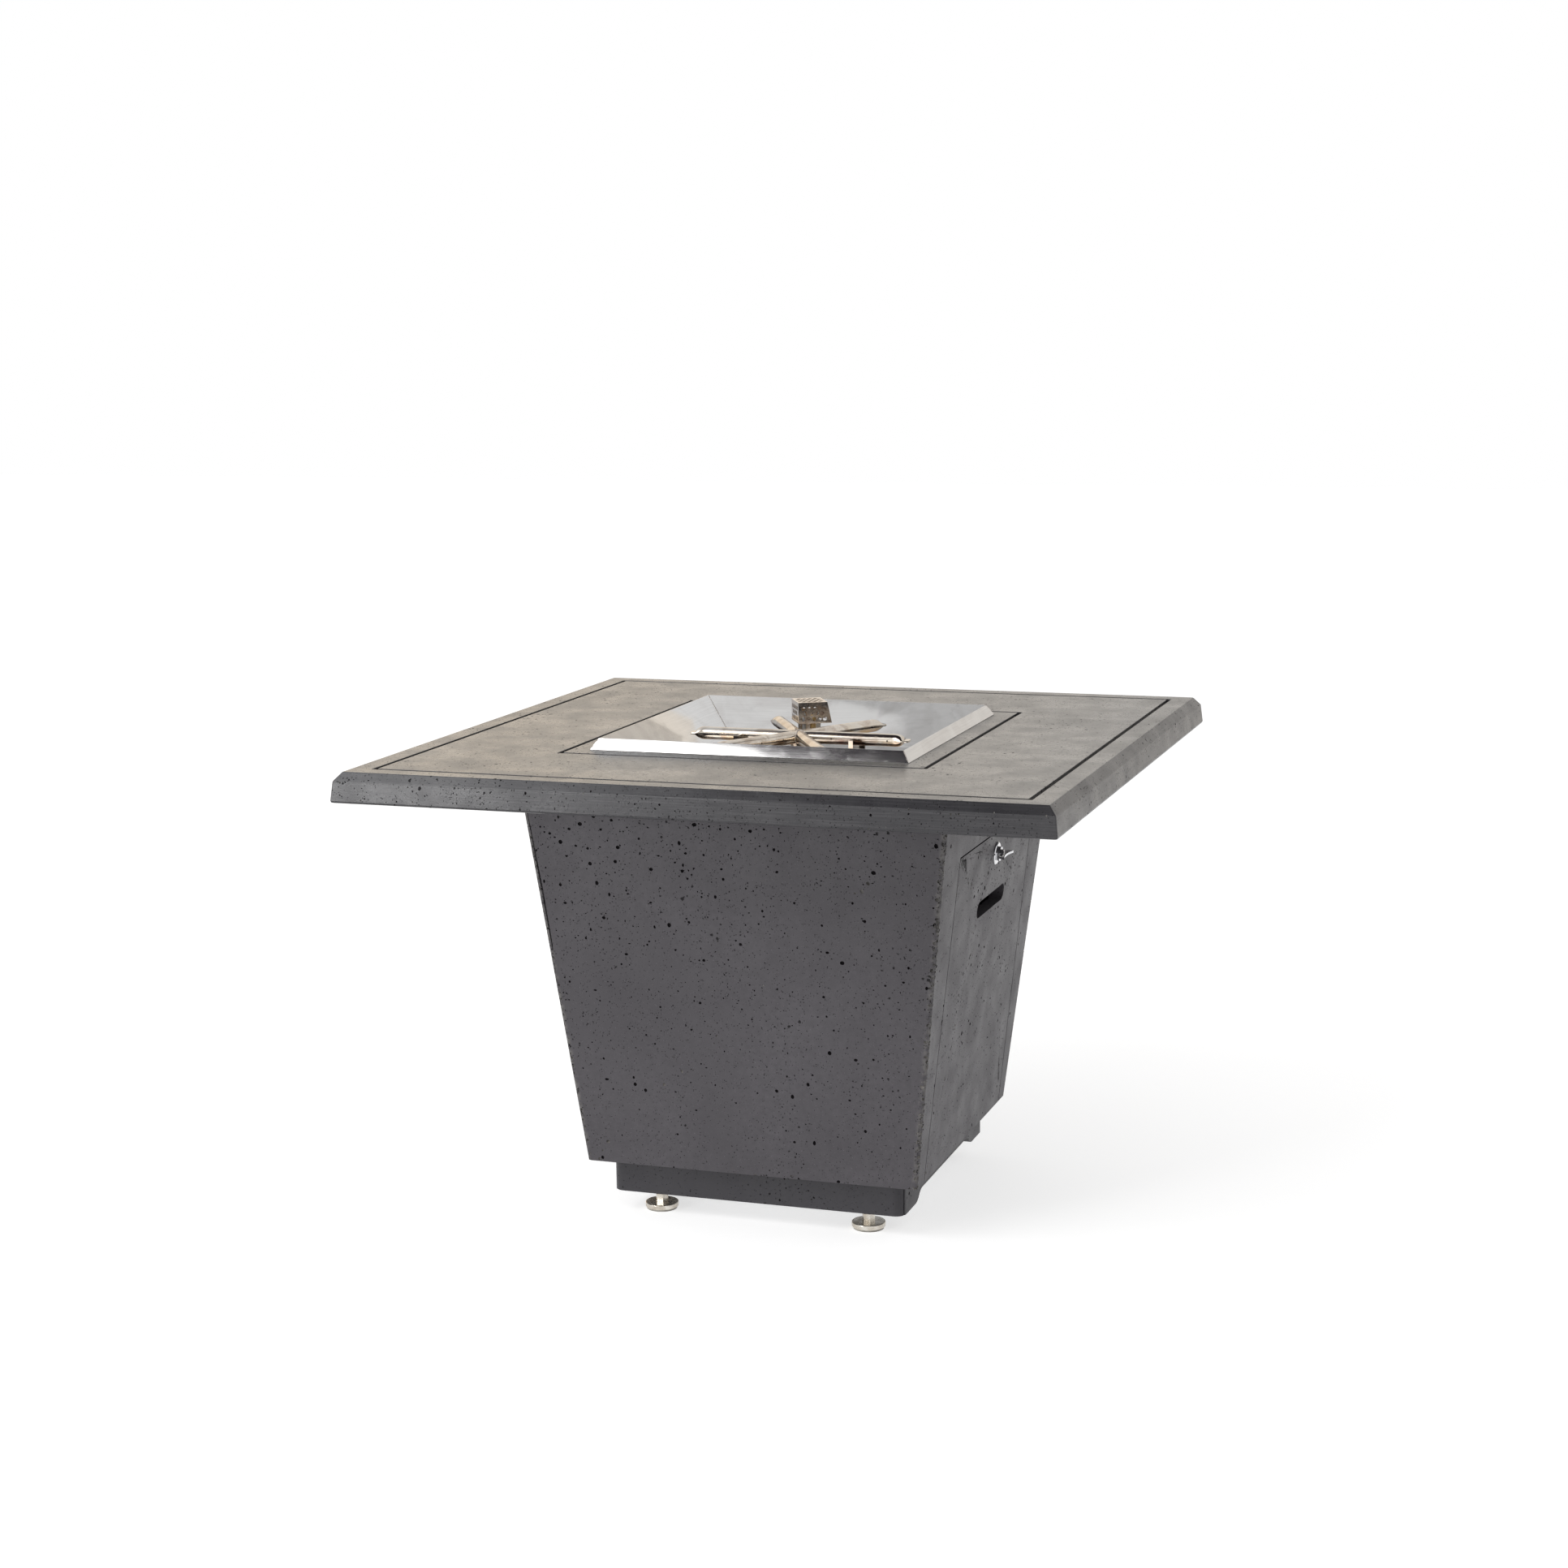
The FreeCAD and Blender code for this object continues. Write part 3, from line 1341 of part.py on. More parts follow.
def make_thermocouple_lead():
    u, v = pilot_places()[2]
    end = hood_point(u, v, shelf_foot() + pilot_below_shelf / 2)
    route = rising_route(socket_foot(valve_outlets()[2]), thermocouple_lead_level, end)
    return tube("thermocouple_lead", route, thermocouple_lead_radius, 0)


def make_igniter_wire():
    u, v = pilot_places()[1]
    end = hood_point(u, v, shelf_foot() + pilot_below_shelf / 2)
    route = rising_route(socket_foot(igniter_terminal()), igniter_wire_level, end)
    return tube("igniter_wire", route, igniter_wire_radius, 0)


# Everything is made, drilled for its fasteners and written out

strike_screws = make_strike_screws()
panel_screws = make_panel_screws()
door_hinge_screws = make_door_hinge_screws()
base_hinge_screws = make_base_hinge_screws()

save("tabletop", make_tabletop())
save("top_inserts", make_top_inserts())
save("top_bolts", make_top_bolts())
save("base_shell", make_base_shell().cut([strike_screws, panel_screws, base_hinge_screws]))
save("floor_panel", make_floor_panel())
save("door_panel", make_door().cut(door_hinge_screws))
save("door_hinge_leaves", make_door_hinge_leaves().cut(door_hinge_screws))
save("door_hinge_screws", door_hinge_screws)
save("base_hinge_leaves", make_base_hinge_leaves().cut(base_hinge_screws))
save("base_hinge_screws", base_hinge_screws)
save("hinge_pins", make_hinge_pins())
save("latch_body", make_latch_body())
save("latch_nut", make_latch_nut())
save("latch_spindle", make_latch_spindle())
save("latch_wing", make_latch_wing())
save("latch_cam", make_latch_cam())
save("cam_nut", make_cam_nut())
save("strike_plate", make_strike_plate())
save("pan_head_screws", Part.makeCompound(strike_screws.Solids + panel_screws.Solids))
save("foot_inserts", make_foot_inserts())
foot_names = ("front_left", "back_left", "front_right", "back_right")
for foot_name, (x, y) in zip(foot_names, each_corner(foot_x, foot_y)):
    save("foot_" + foot_name, make_foot(x, y))
    save("foot_pad_" + foot_name, make_foot_pad(x, y))

save("burner_pan", make_burner_pan())
straight_arm = burner_arm_along_x()
arm_names = ("right", "back_right", "back_left", "left", "front_left", "front_right")
for k, arm_name in enumerate(arm_names):
    save("burner_arm_" + arm_name, turned_arm(straight_arm, 360 * k / arm_count))
save("burner_hub", make_burner_hub())
save("burner_leg_right", make_burner_leg(0))
save("burner_leg_left", make_burner_leg(180))
save("inlet_nipple", make_inlet_nipple())
save("pan_nuts", make_pan_nuts())
save("air_mixer", make_air_mixer())
save("gas_jet", make_gas_jet())
save("pilot_hood", make_pilot_hood())
save("pilot_bracket", make_pilot_bracket())
save("pilot_burner", make_pilot_burner())
save("electrode_insulator", make_electrode_insulator())
save("igniter_electrode", make_igniter_electrode())
save("thermocouple", make_thermocouple())

save("control_panel", make_control_panel().cut(panel_screws))
save("control_valve", make_control_valve())
save("gas_inlet", make_gas_inlet())
save("valve_stem", make_valve_stem())
save("control_knob", make_control_knob())
save("igniter_box", make_igniter_box())
save("igniter_bezel", make_igniter_bezel())
save("igniter_button", make_igniter_button())
save("gas_tube", make_gas_tube())
save("pilot_tube", make_pilot_tube())
save("thermocouple_lead", make_thermocouple_lead())
save("igniter_wire", make_igniter_wire())
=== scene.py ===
import bpy
import bmesh
import math
from mathutils import Matrix, Vector


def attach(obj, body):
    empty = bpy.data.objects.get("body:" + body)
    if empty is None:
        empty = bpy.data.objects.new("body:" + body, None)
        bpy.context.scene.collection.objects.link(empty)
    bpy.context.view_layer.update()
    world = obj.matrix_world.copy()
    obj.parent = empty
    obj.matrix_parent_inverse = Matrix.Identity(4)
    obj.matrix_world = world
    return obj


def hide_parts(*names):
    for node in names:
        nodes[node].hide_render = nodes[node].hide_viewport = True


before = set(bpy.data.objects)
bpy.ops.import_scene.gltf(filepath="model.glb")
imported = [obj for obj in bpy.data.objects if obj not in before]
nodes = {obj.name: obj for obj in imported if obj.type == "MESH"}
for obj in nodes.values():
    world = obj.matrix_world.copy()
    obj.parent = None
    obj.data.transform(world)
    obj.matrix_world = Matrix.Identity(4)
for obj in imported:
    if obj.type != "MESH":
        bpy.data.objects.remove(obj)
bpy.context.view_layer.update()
print("frame loaded,", len(nodes), "nodes")


# camera, fitted to the table's corners and edges in the photograph
cameraFacts = {
    "place": (1.155186, -3.474378, 1.182995),
    "turn": 18.721,       # degrees, towards -x
    "tilt": -9.842,
    "roll": -0.673,
    "lens": 64.055,
}


def makeCamera(facts):
    turn, tilt, roll = (math.radians(facts[key]) for key in ("turn", "tilt", "roll"))
    ahead = Vector((-math.sin(turn) * math.cos(tilt), math.cos(turn) * math.cos(tilt), math.sin(tilt)))
    level = Vector((math.cos(turn), math.sin(turn), 0))
    rise = level.cross(ahead)
    right = level * math.cos(roll) + rise * math.sin(roll)
    up = rise * math.cos(roll) - level * math.sin(roll)
    lens = bpy.data.cameras.new("photoCamera")
    lens.lens = facts["lens"]
    lens.sensor_width = 36
    lens.clip_end = 60
    camera = bpy.data.objects.new("photoCamera", lens)
    bpy.context.scene.collection.objects.link(camera)
    turned = Matrix((right, up, -ahead)).transposed().to_4x4()
    camera.matrix_world = Matrix.Translation(Vector(facts["place"])) @ turned
    bpy.context.scene.camera = camera


makeCamera(cameraFacts)


# node helpers: an input given a socket is linked, anything else is its value
def add(tree, kind, inputs=None, **settings):
    node = tree.nodes.new(kind)
    for key, value in settings.items():
        setattr(node, key, value)
    for key, value in (inputs or {}).items():
        if isinstance(value, bpy.types.NodeSocket):
            tree.links.new(value, node.inputs[key])
        else:
            node.inputs[key].default_value = value
    return node


def noise(tree, place, scale, detail=3.0, stretch=None, warp=0.0):
    if stretch:
        place = add(tree, "ShaderNodeMapping", {"Vector": place, "Scale": stretch}).outputs[0]
    inputs = {"Vector": place, "Scale": scale, "Detail": detail, "Distortion": warp}
    return add(tree, "ShaderNodeTexNoise", inputs).outputs[0]


def remap(tree, value, low, high, newLow=0.0, newHigh=1.0):
    inputs = {"Value": value, "From Min": low, "From Max": high, "To Min": newLow, "To Max": newHigh}
    return add(tree, "ShaderNodeMapRange", inputs).outputs[0]


def work(tree, operation, first, second=0.0, third=0.0):
    return add(tree, "ShaderNodeMath", {0: first, 1: second, 2: third}, operation=operation).outputs[0]


def mixColour(tree, share, first, second, blend="MIX"):
    first, second = (c if isinstance(c, bpy.types.NodeSocket) else (*c, 1) for c in (first, second))
    node = add(tree, "ShaderNodeMix", {0: share, 6: first, 7: second}, data_type="RGBA", blend_type=blend)
    return node.outputs[2]


def bump(tree, height, distance, strength=1.0, under=None):
    inputs = {"Height": height, "Distance": distance, "Strength": strength}
    if under:
        inputs["Normal"] = under
    return add(tree, "ShaderNodeBump", inputs).outputs[0]


def startFinish(name):
    finish = bpy.data.materials.new(name)
    finish.use_nodes = True
    tree = finish.node_tree
    place = add(tree, "ShaderNodeTexCoord").outputs["Object"]
    return finish, tree, tree.nodes["Principled BSDF"], place


def wire(tree, shader, **inputs):
    for key, value in inputs.items():
        socket = shader.inputs[key.replace("_", " ")]
        if isinstance(value, bpy.types.NodeSocket):
            tree.links.new(value, socket)
        else:
            socket.default_value = value


def normalAxes(tree):
    facing = add(tree, "ShaderNodeTexCoord").outputs["Normal"]
    return add(tree, "ShaderNodeSeparateXYZ", {0: facing}).outputs


def vectorWork(tree, operation, inputs):
    return add(tree, "ShaderNodeVectorMath", inputs, operation=operation).outputs[0]


def randomVector(tree, low, high, seed):
    inputs = {"Min": low, "Max": high, "Seed": seed}
    return add(tree, "FunctionNodeRandomValue", inputs, data_type="FLOAT_VECTOR").outputs[0]


def lottery(tree, chance, seed):
    inputs = {"Probability": chance, "Seed": seed}
    drawn = add(tree, "FunctionNodeRandomValue", inputs, data_type="BOOLEAN").outputs
    return [o for o in drawn if o.type == "BOOLEAN" and o.enabled][0]


# outer wall of the base, which the wear on its corners follows too
baseWall = {"lowHalf": 0.224, "lowZ": 0.075, "slope": 0.114851, "plinthHalf": 0.199}


# cast concrete: clouds, mottling, aggregate and worn corners, with painted light on the tabletop's upward
# faces, painted shade on the recessed plinth, and painted shade in the pits too fine to cut, which are coloured
# near-black
concreteLooks = {
    # the tabletop's tones for upward faces are painted light: they are lighter and warmer than its sides
    "topCast": {"dark": (0.024, 0.023, 0.027), "light": (0.044, 0.042, 0.045), "pitSize": 0.34,
                "pitShare": 0.50, "streaks": 1.0, "wornAndPlinthShade": 0.0, "roughness": (0.22, 0.36),
                "litTopDark": (0.120, 0.114, 0.108), "litTopLight": (0.260, 0.244, 0.224)},
    # the base gets worn upright corners and painted shade on its recessed plinth
    "baseCast": {"dark": (0.056, 0.051, 0.058), "light": (0.090, 0.083, 0.093), "pitSize": 0.32,
                 "pitShare": 0.55, "streaks": 0.0, "wornAndPlinthShade": 1.0, "roughness": (0.42, 0.58)},
    "brokenCast": {"dark": (0.11, 0.105, 0.10), "light": (0.24, 0.225, 0.21), "pitSize": 0.25,
                   "pitShare": 0.3, "streaks": 0.0, "wornAndPlinthShade": 0.0, "roughness": (0.7, 0.9)},
    # painted shade: the walls of the cut pits get this near-black colour and little shine
    "pitShadeCast": {"dark": (0.004, 0.003, 0.004), "light": (0.012, 0.011, 0.012), "pitSize": 0.25,
                "pitShare": 0.3, "streaks": 0.0, "wornAndPlinthShade": 0.0, "roughness": (0.85, 0.98), "shine": 0.12},
}


def pitLayer(tree, place, scale, share, size, cluster):
    cells = add(tree, "ShaderNodeTexVoronoi", {"Vector": place, "Scale": scale})
    pick = add(tree, "ShaderNodeSeparateColor", {0: cells.outputs["Color"]}).outputs[0]
    radius = work(tree, "MULTIPLY", remap(tree, pick, 1 - share, 1, 0, size), cluster)
    return remap(tree, work(tree, "SUBTRACT", radius, cells.outputs["Distance"]), 0, 0.07)


def cornerWear(tree, place):
    # how near a point is to the tapered base's upright corners
    axes = add(tree, "ShaderNodeSeparateXYZ", {0: place}).outputs
    inner = work(tree, "MINIMUM", work(tree, "ABSOLUTE", axes[0]), work(tree, "ABSOLUTE", axes[1]))
    rise = work(tree, "SUBTRACT", axes[2], baseWall["lowZ"])
    half = work(tree, "MULTIPLY_ADD", rise, baseWall["slope"], baseWall["lowHalf"])
    near = remap(tree, work(tree, "SUBTRACT", inner, half), -0.0085, -0.001)
    ragged = remap(tree, noise(tree, place, 130, 5), 0.42, 0.62)
    return work(tree, "MULTIPLY", near, ragged)


def makeConcrete(name, look):
    finish, tree, shader, place = startFinish(name)
    drift = add(tree, "ShaderNodeTexNoise", {"Vector": place, "Scale": 160.0, "Detail": 2.0}).outputs[1]
    bent = vectorWork(tree, "MULTIPLY_ADD", {0: drift, 1: (0.004,) * 3, 2: place})
    clouds = remap(tree, noise(tree, place, 3.6, 6, warp=0.6), 0.32, 0.68)
    mottle = remap(tree, noise(tree, place, 110, 6), 0.34, 0.66)
    colour = mixColour(tree, clouds, look["dark"], look["light"])
    colour = mixColour(tree, remap(tree, mottle, 0, 1, 0, 0.55), colour, look["dark"])
    dust = pitLayer(tree, bent, 700, 0.25, 0.32, 1.0)
    colour = mixColour(tree, remap(tree, dust, 0, 1, 0, 0.5), colour, tuple(2.2 * c for c in look["light"]))
    # painted light: faces that look up get the lighter, warmer tones, standing in for the light and sheen
    # falling on the top
    if "litTopDark" in look:
        rise = normalAxes(tree)[2]
        up = mixColour(tree, clouds, look["litTopDark"], look["litTopLight"])
        up = mixColour(tree, remap(tree, mottle, 0, 1, 0, 0.8), up, look["litTopDark"])
        up = mixColour(tree, remap(tree, dust, 0, 1, 0, 0.45), up, (0.30, 0.28, 0.26))
        colour = mixColour(tree, remap(tree, rise, 0.85, 0.97), colour, up)
    if look["streaks"]:
        level = work(tree, "ABSOLUTE", normalAxes(tree)[2])
        upright = remap(tree, level, 0.75, 0.6)
        lines = remap(tree, noise(tree, place, 1, 6, stretch=(9, 9, 620)), 0.48, 0.66)
        colour = mixColour(tree, work(tree, "MULTIPLY", work(tree, "MULTIPLY", lines, upright), 0.5),
                           colour, tuple(1.9 * c for c in look["light"]))
    if look["wornAndPlinthShade"]:
        low = add(tree, "ShaderNodeSeparateXYZ", {0: place}).outputs[2]
        # painted shade: below 75 mm, on the recessed plinth, the colour is darkened towards near-black
        colour = mixColour(tree, remap(tree, low, 0.0752, 0.0748, 0, 0.75), colour, (0.022, 0.021, 0.026))
        wear = work(tree, "MULTIPLY", cornerWear(tree, place), 0.8)
        colour = mixColour(tree, wear, colour, (0.20, 0.19, 0.18))
    cluster = remap(tree, noise(tree, place, 12, 4), 0.44, 0.60, 0.25, 1)
    pits = pitLayer(tree, bent, 420, look["pitShare"], look["pitSize"], 1.0)
    for scale, share in ((230, 0.8), (135, 0.5)):
        layer = pitLayer(tree, bent, scale, look["pitShare"] * share, look["pitSize"], cluster)
        pits = work(tree, "MAXIMUM", pits, layer)
    # painted shade: the pits too fine to cut are coloured near-black
    colour = mixColour(tree, work(tree, "MULTIPLY", pits, 0.88), colour, (0.008, 0.007, 0.008))
    rough = remap(tree, noise(tree, place, 22, 5), 0.3, 0.7, *look["roughness"])
    rough = work(tree, "MAXIMUM", rough, work(tree, "MULTIPLY", pits, 0.95))
    grain = bump(tree, noise(tree, place, 900, 4), 0.00008, 0.6)
    wavy = bump(tree, noise(tree, place, 35, 3), 0.0008, 0.35, grain)
    inset = bump(tree, work(tree, "SUBTRACT", 1.0, pits), 0.0016, 0.9, wavy)
    wire(tree, shader, Base_Color=colour, Roughness=rough, Normal=inset)
    shader.inputs["Specular IOR Level"].default_value = look.get("shine", 0.5)
    return finish


# steel sheet and tube: brushed lines, smudges, and heat colours where the flame reaches
steelLooks = {
    "pan_steel": {"colour": (0.57, 0.565, 0.56), "smudge": (0.50, 0.485, 0.475), "roughness": (0.10, 0.19),
                  "lines": 0.06, "heat": 0.0, "smudgeScale": 13},
    "burner_steel": {"colour": (0.56, 0.51, 0.44), "smudge": (0.32, 0.25, 0.19), "roughness": (0.09, 0.24),
                     "lines": 0.06, "heat": 1.0, "smudgeScale": 26},
    "hood_steel": {"colour": (0.60, 0.56, 0.51), "smudge": (0.40, 0.29, 0.21), "roughness": (0.12, 0.26),
                   "lines": 0.08, "heat": 0.8, "smudgeScale": 34},
    "weld": {"colour": (0.50, 0.46, 0.42), "smudge": (0.20, 0.17, 0.16), "roughness": (0.22, 0.5),
             "lines": 0.05, "heat": 0.9, "smudgeScale": 120},
}


def makeSteel(name, look):
    finish, tree, shader, place = startFinish(name)
    normal = normalAxes(tree)
    side = work(tree, "GREATER_THAN", work(tree, "ABSOLUTE", normal[0]), work(tree, "ABSOLUTE", normal[1]))
    alongX = noise(tree, place, 1, 4, stretch=(14, 900, 900))
    alongY = noise(tree, place, 1, 4, stretch=(900, 14, 900))
    lines = add(tree, "ShaderNodeMix", {0: side, 2: alongX, 3: alongY}).outputs[0]
    smears = remap(tree, noise(tree, place, look["smudgeScale"], 5, warp=1.6), 0.46, 0.66)
    prints = remap(tree, noise(tree, place, look["smudgeScale"] * 5, 4, warp=0.8), 0.55, 0.75)
    colour = mixColour(tree, work(tree, "MULTIPLY", smears, 0.7), look["colour"], look["smudge"])
    brushing = work(tree, "MULTIPLY", remap(tree, lines, 0.35, 0.7), 0.22)
    colour = mixColour(tree, brushing, colour, (0.82, 0.81, 0.80))
    if look["heat"]:
        low = remap(tree, normal[2], 0.25, -0.75)
        patch = remap(tree, noise(tree, place, 38, 4, warp=0.7), 0.36, 0.64)
        heat = work(tree, "MULTIPLY", work(tree, "ADD", low, 0.12), patch)
        heat = work(tree, "MULTIPLY", heat, look["heat"])
        hue = remap(tree, noise(tree, place, 21, 2), 0.4, 0.6)
        tint = mixColour(tree, hue, (0.52, 0.33, 0.14), (0.33, 0.18, 0.13))
        colour = mixColour(tree, heat, colour, tint)
    rough = remap(tree, lines, 0.3, 0.7, look["roughness"][0], sum(look["roughness"]) / 2)
    rough = work(tree, "MULTIPLY_ADD", smears, (look["roughness"][1] - look["roughness"][0]) / 2, rough)
    rough = work(tree, "MULTIPLY_ADD", prints, 0.06, rough)
    brushed = bump(tree, lines, 0.0002, look["lines"])
    dented = bump(tree, noise(tree, place, 11, 2), 0.004, 0.10, brushed)
    wire(tree, shader, Base_Color=colour, Roughness=rough, Normal=dented, Metallic=1.0)
    return finish


# everything smaller: two tones in patches, a grain, and its own shine
smallLooks = {
    "chrome": {"tones": ((0.74, 0.74, 0.75), (0.60, 0.60, 0.62)), "metal": 1, "roughness": (0.05, 0.16),
               "patch": 60, "grain": 900, "depth": 0.03},
    "zinc_steel": {"tones": ((0.56, 0.57, 0.59), (0.40, 0.40, 0.39)), "metal": 1, "roughness": (0.24, 0.46),
                   "patch": 90, "grain": 700, "depth": 0.10, "flakes": 150},
    "powder_black": {"tones": ((0.022, 0.022, 0.024), (0.040, 0.040, 0.042)), "metal": 0,
                     "roughness": (0.42, 0.60), "patch": 20, "grain": 1500, "depth": 0.35},
    "brass": {"tones": ((0.68, 0.50, 0.24), (0.42, 0.28, 0.13)), "metal": 1, "roughness": (0.20, 0.42),
              "patch": 110, "grain": 900, "depth": 0.08},
    "foot_nickel": {"tones": ((0.74, 0.71, 0.65), (0.52, 0.47, 0.40)), "metal": 1, "roughness": (0.16, 0.34),
                    "patch": 70, "grain": 800, "depth": 0.08},
    "pad_plastic": {"tones": ((0.52, 0.50, 0.46), (0.36, 0.34, 0.31)), "metal": 0, "roughness": (0.45, 0.65),
                    "patch": 90, "grain": 1100, "depth": 0.15},
    "black_plastic": {"tones": ((0.018, 0.018, 0.019), (0.034, 0.034, 0.036)), "metal": 0,
                      "roughness": (0.32, 0.50), "patch": 60, "grain": 1400, "depth": 0.20},
    "white_ceramic": {"tones": ((0.78, 0.76, 0.71), (0.60, 0.56, 0.48)), "metal": 0,
                      "roughness": (0.18, 0.40), "patch": 160, "grain": 900, "depth": 0.08},
    "tube_aluminium": {"tones": ((0.70, 0.70, 0.71), (0.52, 0.52, 0.53)), "metal": 1,
                       "roughness": (0.26, 0.42), "patch": 80, "grain": 600, "depth": 0.10},
    "copper": {"tones": ((0.66, 0.33, 0.19), (0.36, 0.17, 0.10)), "metal": 1, "roughness": (0.24, 0.44),
               "patch": 90, "grain": 700, "depth": 0.10},
    "wire_silicone": {"tones": ((0.42, 0.06, 0.035), (0.27, 0.04, 0.03)), "metal": 0,
                      "roughness": (0.40, 0.58), "patch": 60, "grain": 1200, "depth": 0.12},
    # painted shade: the walls of the drilled burner ports are coloured near-black
    "port_dark": {"tones": ((0.010, 0.009, 0.009), (0.035, 0.026, 0.020)), "metal": 0,
                  "roughness": (0.6, 0.8), "patch": 400, "grain": 1500, "depth": 0.2},
}


def makeSmallFinish(name, look):
    finish, tree, shader, place = startFinish(name)
    patches = remap(tree, noise(tree, place, look["patch"], 5, warp=0.5), 0.38, 0.64)
    colour = mixColour(tree, patches, *look["tones"])
    rough = remap(tree, noise(tree, place, look["patch"] * 2.5, 4), 0.3, 0.7, *look["roughness"])
    if "flakes" in look:
        cells = add(tree, "ShaderNodeTexVoronoi", {"Vector": place, "Scale": look["flakes"]})
        shade = add(tree, "ShaderNodeSeparateColor", {0: cells.outputs["Color"]}).outputs[0]
        colour = mixColour(tree, work(tree, "MULTIPLY", shade, 0.35), colour, (0.70, 0.71, 0.73))
        rough = work(tree, "MULTIPLY_ADD", shade, 0.10, rough)
    scratches = remap(tree, noise(tree, place, look["patch"] * 4, 2, warp=2.5), 0.60, 0.64)
    rough = work(tree, "MULTIPLY_ADD", scratches, 0.08, rough)
    grain = bump(tree, noise(tree, place, look["grain"], 3), 0.0003, look["depth"])
    wire(tree, shader, Base_Color=colour, Roughness=rough, Normal=grain, Metallic=float(look["metal"]))
    return finish


finishes = {name: makeConcrete(name, look) for name, look in concreteLooks.items()}
finishes.update({name: makeSteel(name, look) for name, look in steelLooks.items()})
finishes.update({name: makeSmallFinish(name, look) for name, look in smallLooks.items()})
finishes["concrete_top"] = finishes["topCast"]
finishes["concrete_base"] = finishes["baseCast"]
for node in nodes.values():
    for index, old in enumerate(list(node.data.materials)):
        node.data.materials[index] = finishes[old.name.split(".")[0]]
print("finishes made:", len(finishes))


# Geometry Nodes helpers
def startTree(name, sizes):
    tree = bpy.data.node_groups.new(name, "GeometryNodeTree")
    tree.interface.new_socket("Geometry", in_out="INPUT", socket_type="NodeSocketGeometry")
    for label, value in sizes.items():
        kind = {int: "Int", float: "Float"}.get(type(value), "Material")
        tree.interface.new_socket(label, in_out="INPUT", socket_type="NodeSocket" + kind)
    tree.interface.new_socket("Geometry", in_out="OUTPUT", socket_type="NodeSocketGeometry")
    return tree, tree.nodes.new("NodeGroupInput").outputs


def endTree(tree, geometry, finish, selection=None):
    whole = add(tree, "GeometryNodeRealizeInstances", {0: geometry}).outputs[0]
    inputs = {"Geometry": whole, "Material": finish}
    if selection:
        inputs["Selection"] = selection
    dressed = add(tree, "GeometryNodeSetMaterial", inputs).outputs[0]
    tree.links.new(dressed, tree.nodes.new("NodeGroupOutput").inputs[0])


def settle(name, mesh, tree, sizes):
    piece = bpy.data.objects.new(name, mesh)
    bpy.context.scene.collection.objects.link(piece)
    modifier = piece.modifiers.new(name, "NODES")
    modifier.node_group = tree
    for item in tree.interface.items_tree:
        if item.in_out == "INPUT" and item.name in sizes:
            modifier[item.identifier] = sizes[item.name]
    bpy.context.view_layer.update()
    plain = bpy.data.meshes.new_from_object(piece.evaluated_get(bpy.context.evaluated_depsgraph_get()))
    plain.validate()  # a cut can leave a doubled face
    piece.modifiers.clear()
    plain.name = name
    piece.data = plain
    return piece


def meshOf(name, shape, *materials):
    mesh = bpy.data.meshes.new(name)
    shape.to_mesh(mesh)
    shape.free()
    for material in materials:
        mesh.materials.append(material)
    return mesh


def closedCopy(node):
    # a node's mesh with its loose triangles joined into a closed shell of larger faces
    shape = bmesh.new()
    shape.from_mesh(nodes[node].data)
    bmesh.ops.remove_doubles(shape, verts=shape.verts, dist=2e-6)
    bmesh.ops.dissolve_limit(shape, angle_limit=0.004, verts=shape.verts, edges=shape.edges)
    bmesh.ops.triangulate(shape, faces=shape.faces)
    return shape


# pits and chips: blobs scattered over the marked faces and arrises are cut out of the casting
def blobs(tree, points, turn, size, detail, ragged, seed, kind):
    ball = add(tree, "GeometryNodeMeshIcoSphere", {"Radius": 1.0, "Subdivisions": detail}).outputs[0]
    spread = randomVector(tree, (0.7, 0.7, 0.5), (1.35, 1.35, 0.95), seed)
    chance = add(tree, "FunctionNodeRandomValue", {"Seed": work(tree, "ADD", seed, 7.0)}, data_type="FLOAT")
    chance = [o for o in chance.outputs if o.type == "VALUE" and o.enabled][0]
    share = work(tree, "MULTIPLY_ADD", work(tree, "POWER", chance, 2.4), 0.75, 0.25)
    scale = vectorWork(tree, "SCALE", {0: spread, 3: work(tree, "MULTIPLY", share, size)})
    each = add(tree, "GeometryNodeInstanceOnPoints",
               {"Points": points, "Instance": ball, "Rotation": turn, "Scale": scale}).outputs[0]
    whole = add(tree, "GeometryNodeRealizeInstances", {0: each}).outputs[0]
    here = add(tree, "GeometryNodeInputPosition").outputs[0]
    wobble = add(tree, "ShaderNodeTexNoise", {"Vector": here, "Scale": 420.0, "Detail": 1.0}).outputs[1]
    wobble = vectorWork(tree, "SUBTRACT", {0: wobble, 1: (0.5, 0.5, 0.5)})
    wobble = vectorWork(tree, "SCALE", {0: wobble, 3: ragged})
    rough = add(tree, "GeometryNodeSetPosition", {"Geometry": whole, "Offset": wobble}).outputs[0]
    return markKind(tree, rough, kind)


def markKind(tree, geometry, kind):
    inputs = {"Geometry": geometry, "Name": "cutKind", "Value": kind}
    return add(tree, "GeometryNodeStoreNamedAttribute", inputs, data_type="INT", domain="FACE").outputs[0]


def cutBy(tree, solid, cutters):
    inputs = {"Mesh 1": solid, "Mesh 2": cutters}
    return add(tree, "GeometryNodeMeshBoolean", inputs, operation="DIFFERENCE", solver="MANIFOLD").outputs[0]


castSizes = {
    "coarse spacing": 0.007, "coarse size": 0.0030, "coarse count": 4200.0,
    "fine spacing": 0.0030, "fine size": 0.0015, "fine count": 17000.0,
    "chip step": 0.012, "chip size": 0.0030, "chip share": 0.45,
    "ragged": 0.0016, "cluster scale": 9.0, "seed": 11, "low share": 0.35,
    "cast finish": finishes["baseCast"], "pit shade finish": finishes["pitShadeCast"],
    "chip finish": finishes["brokenCast"],
}


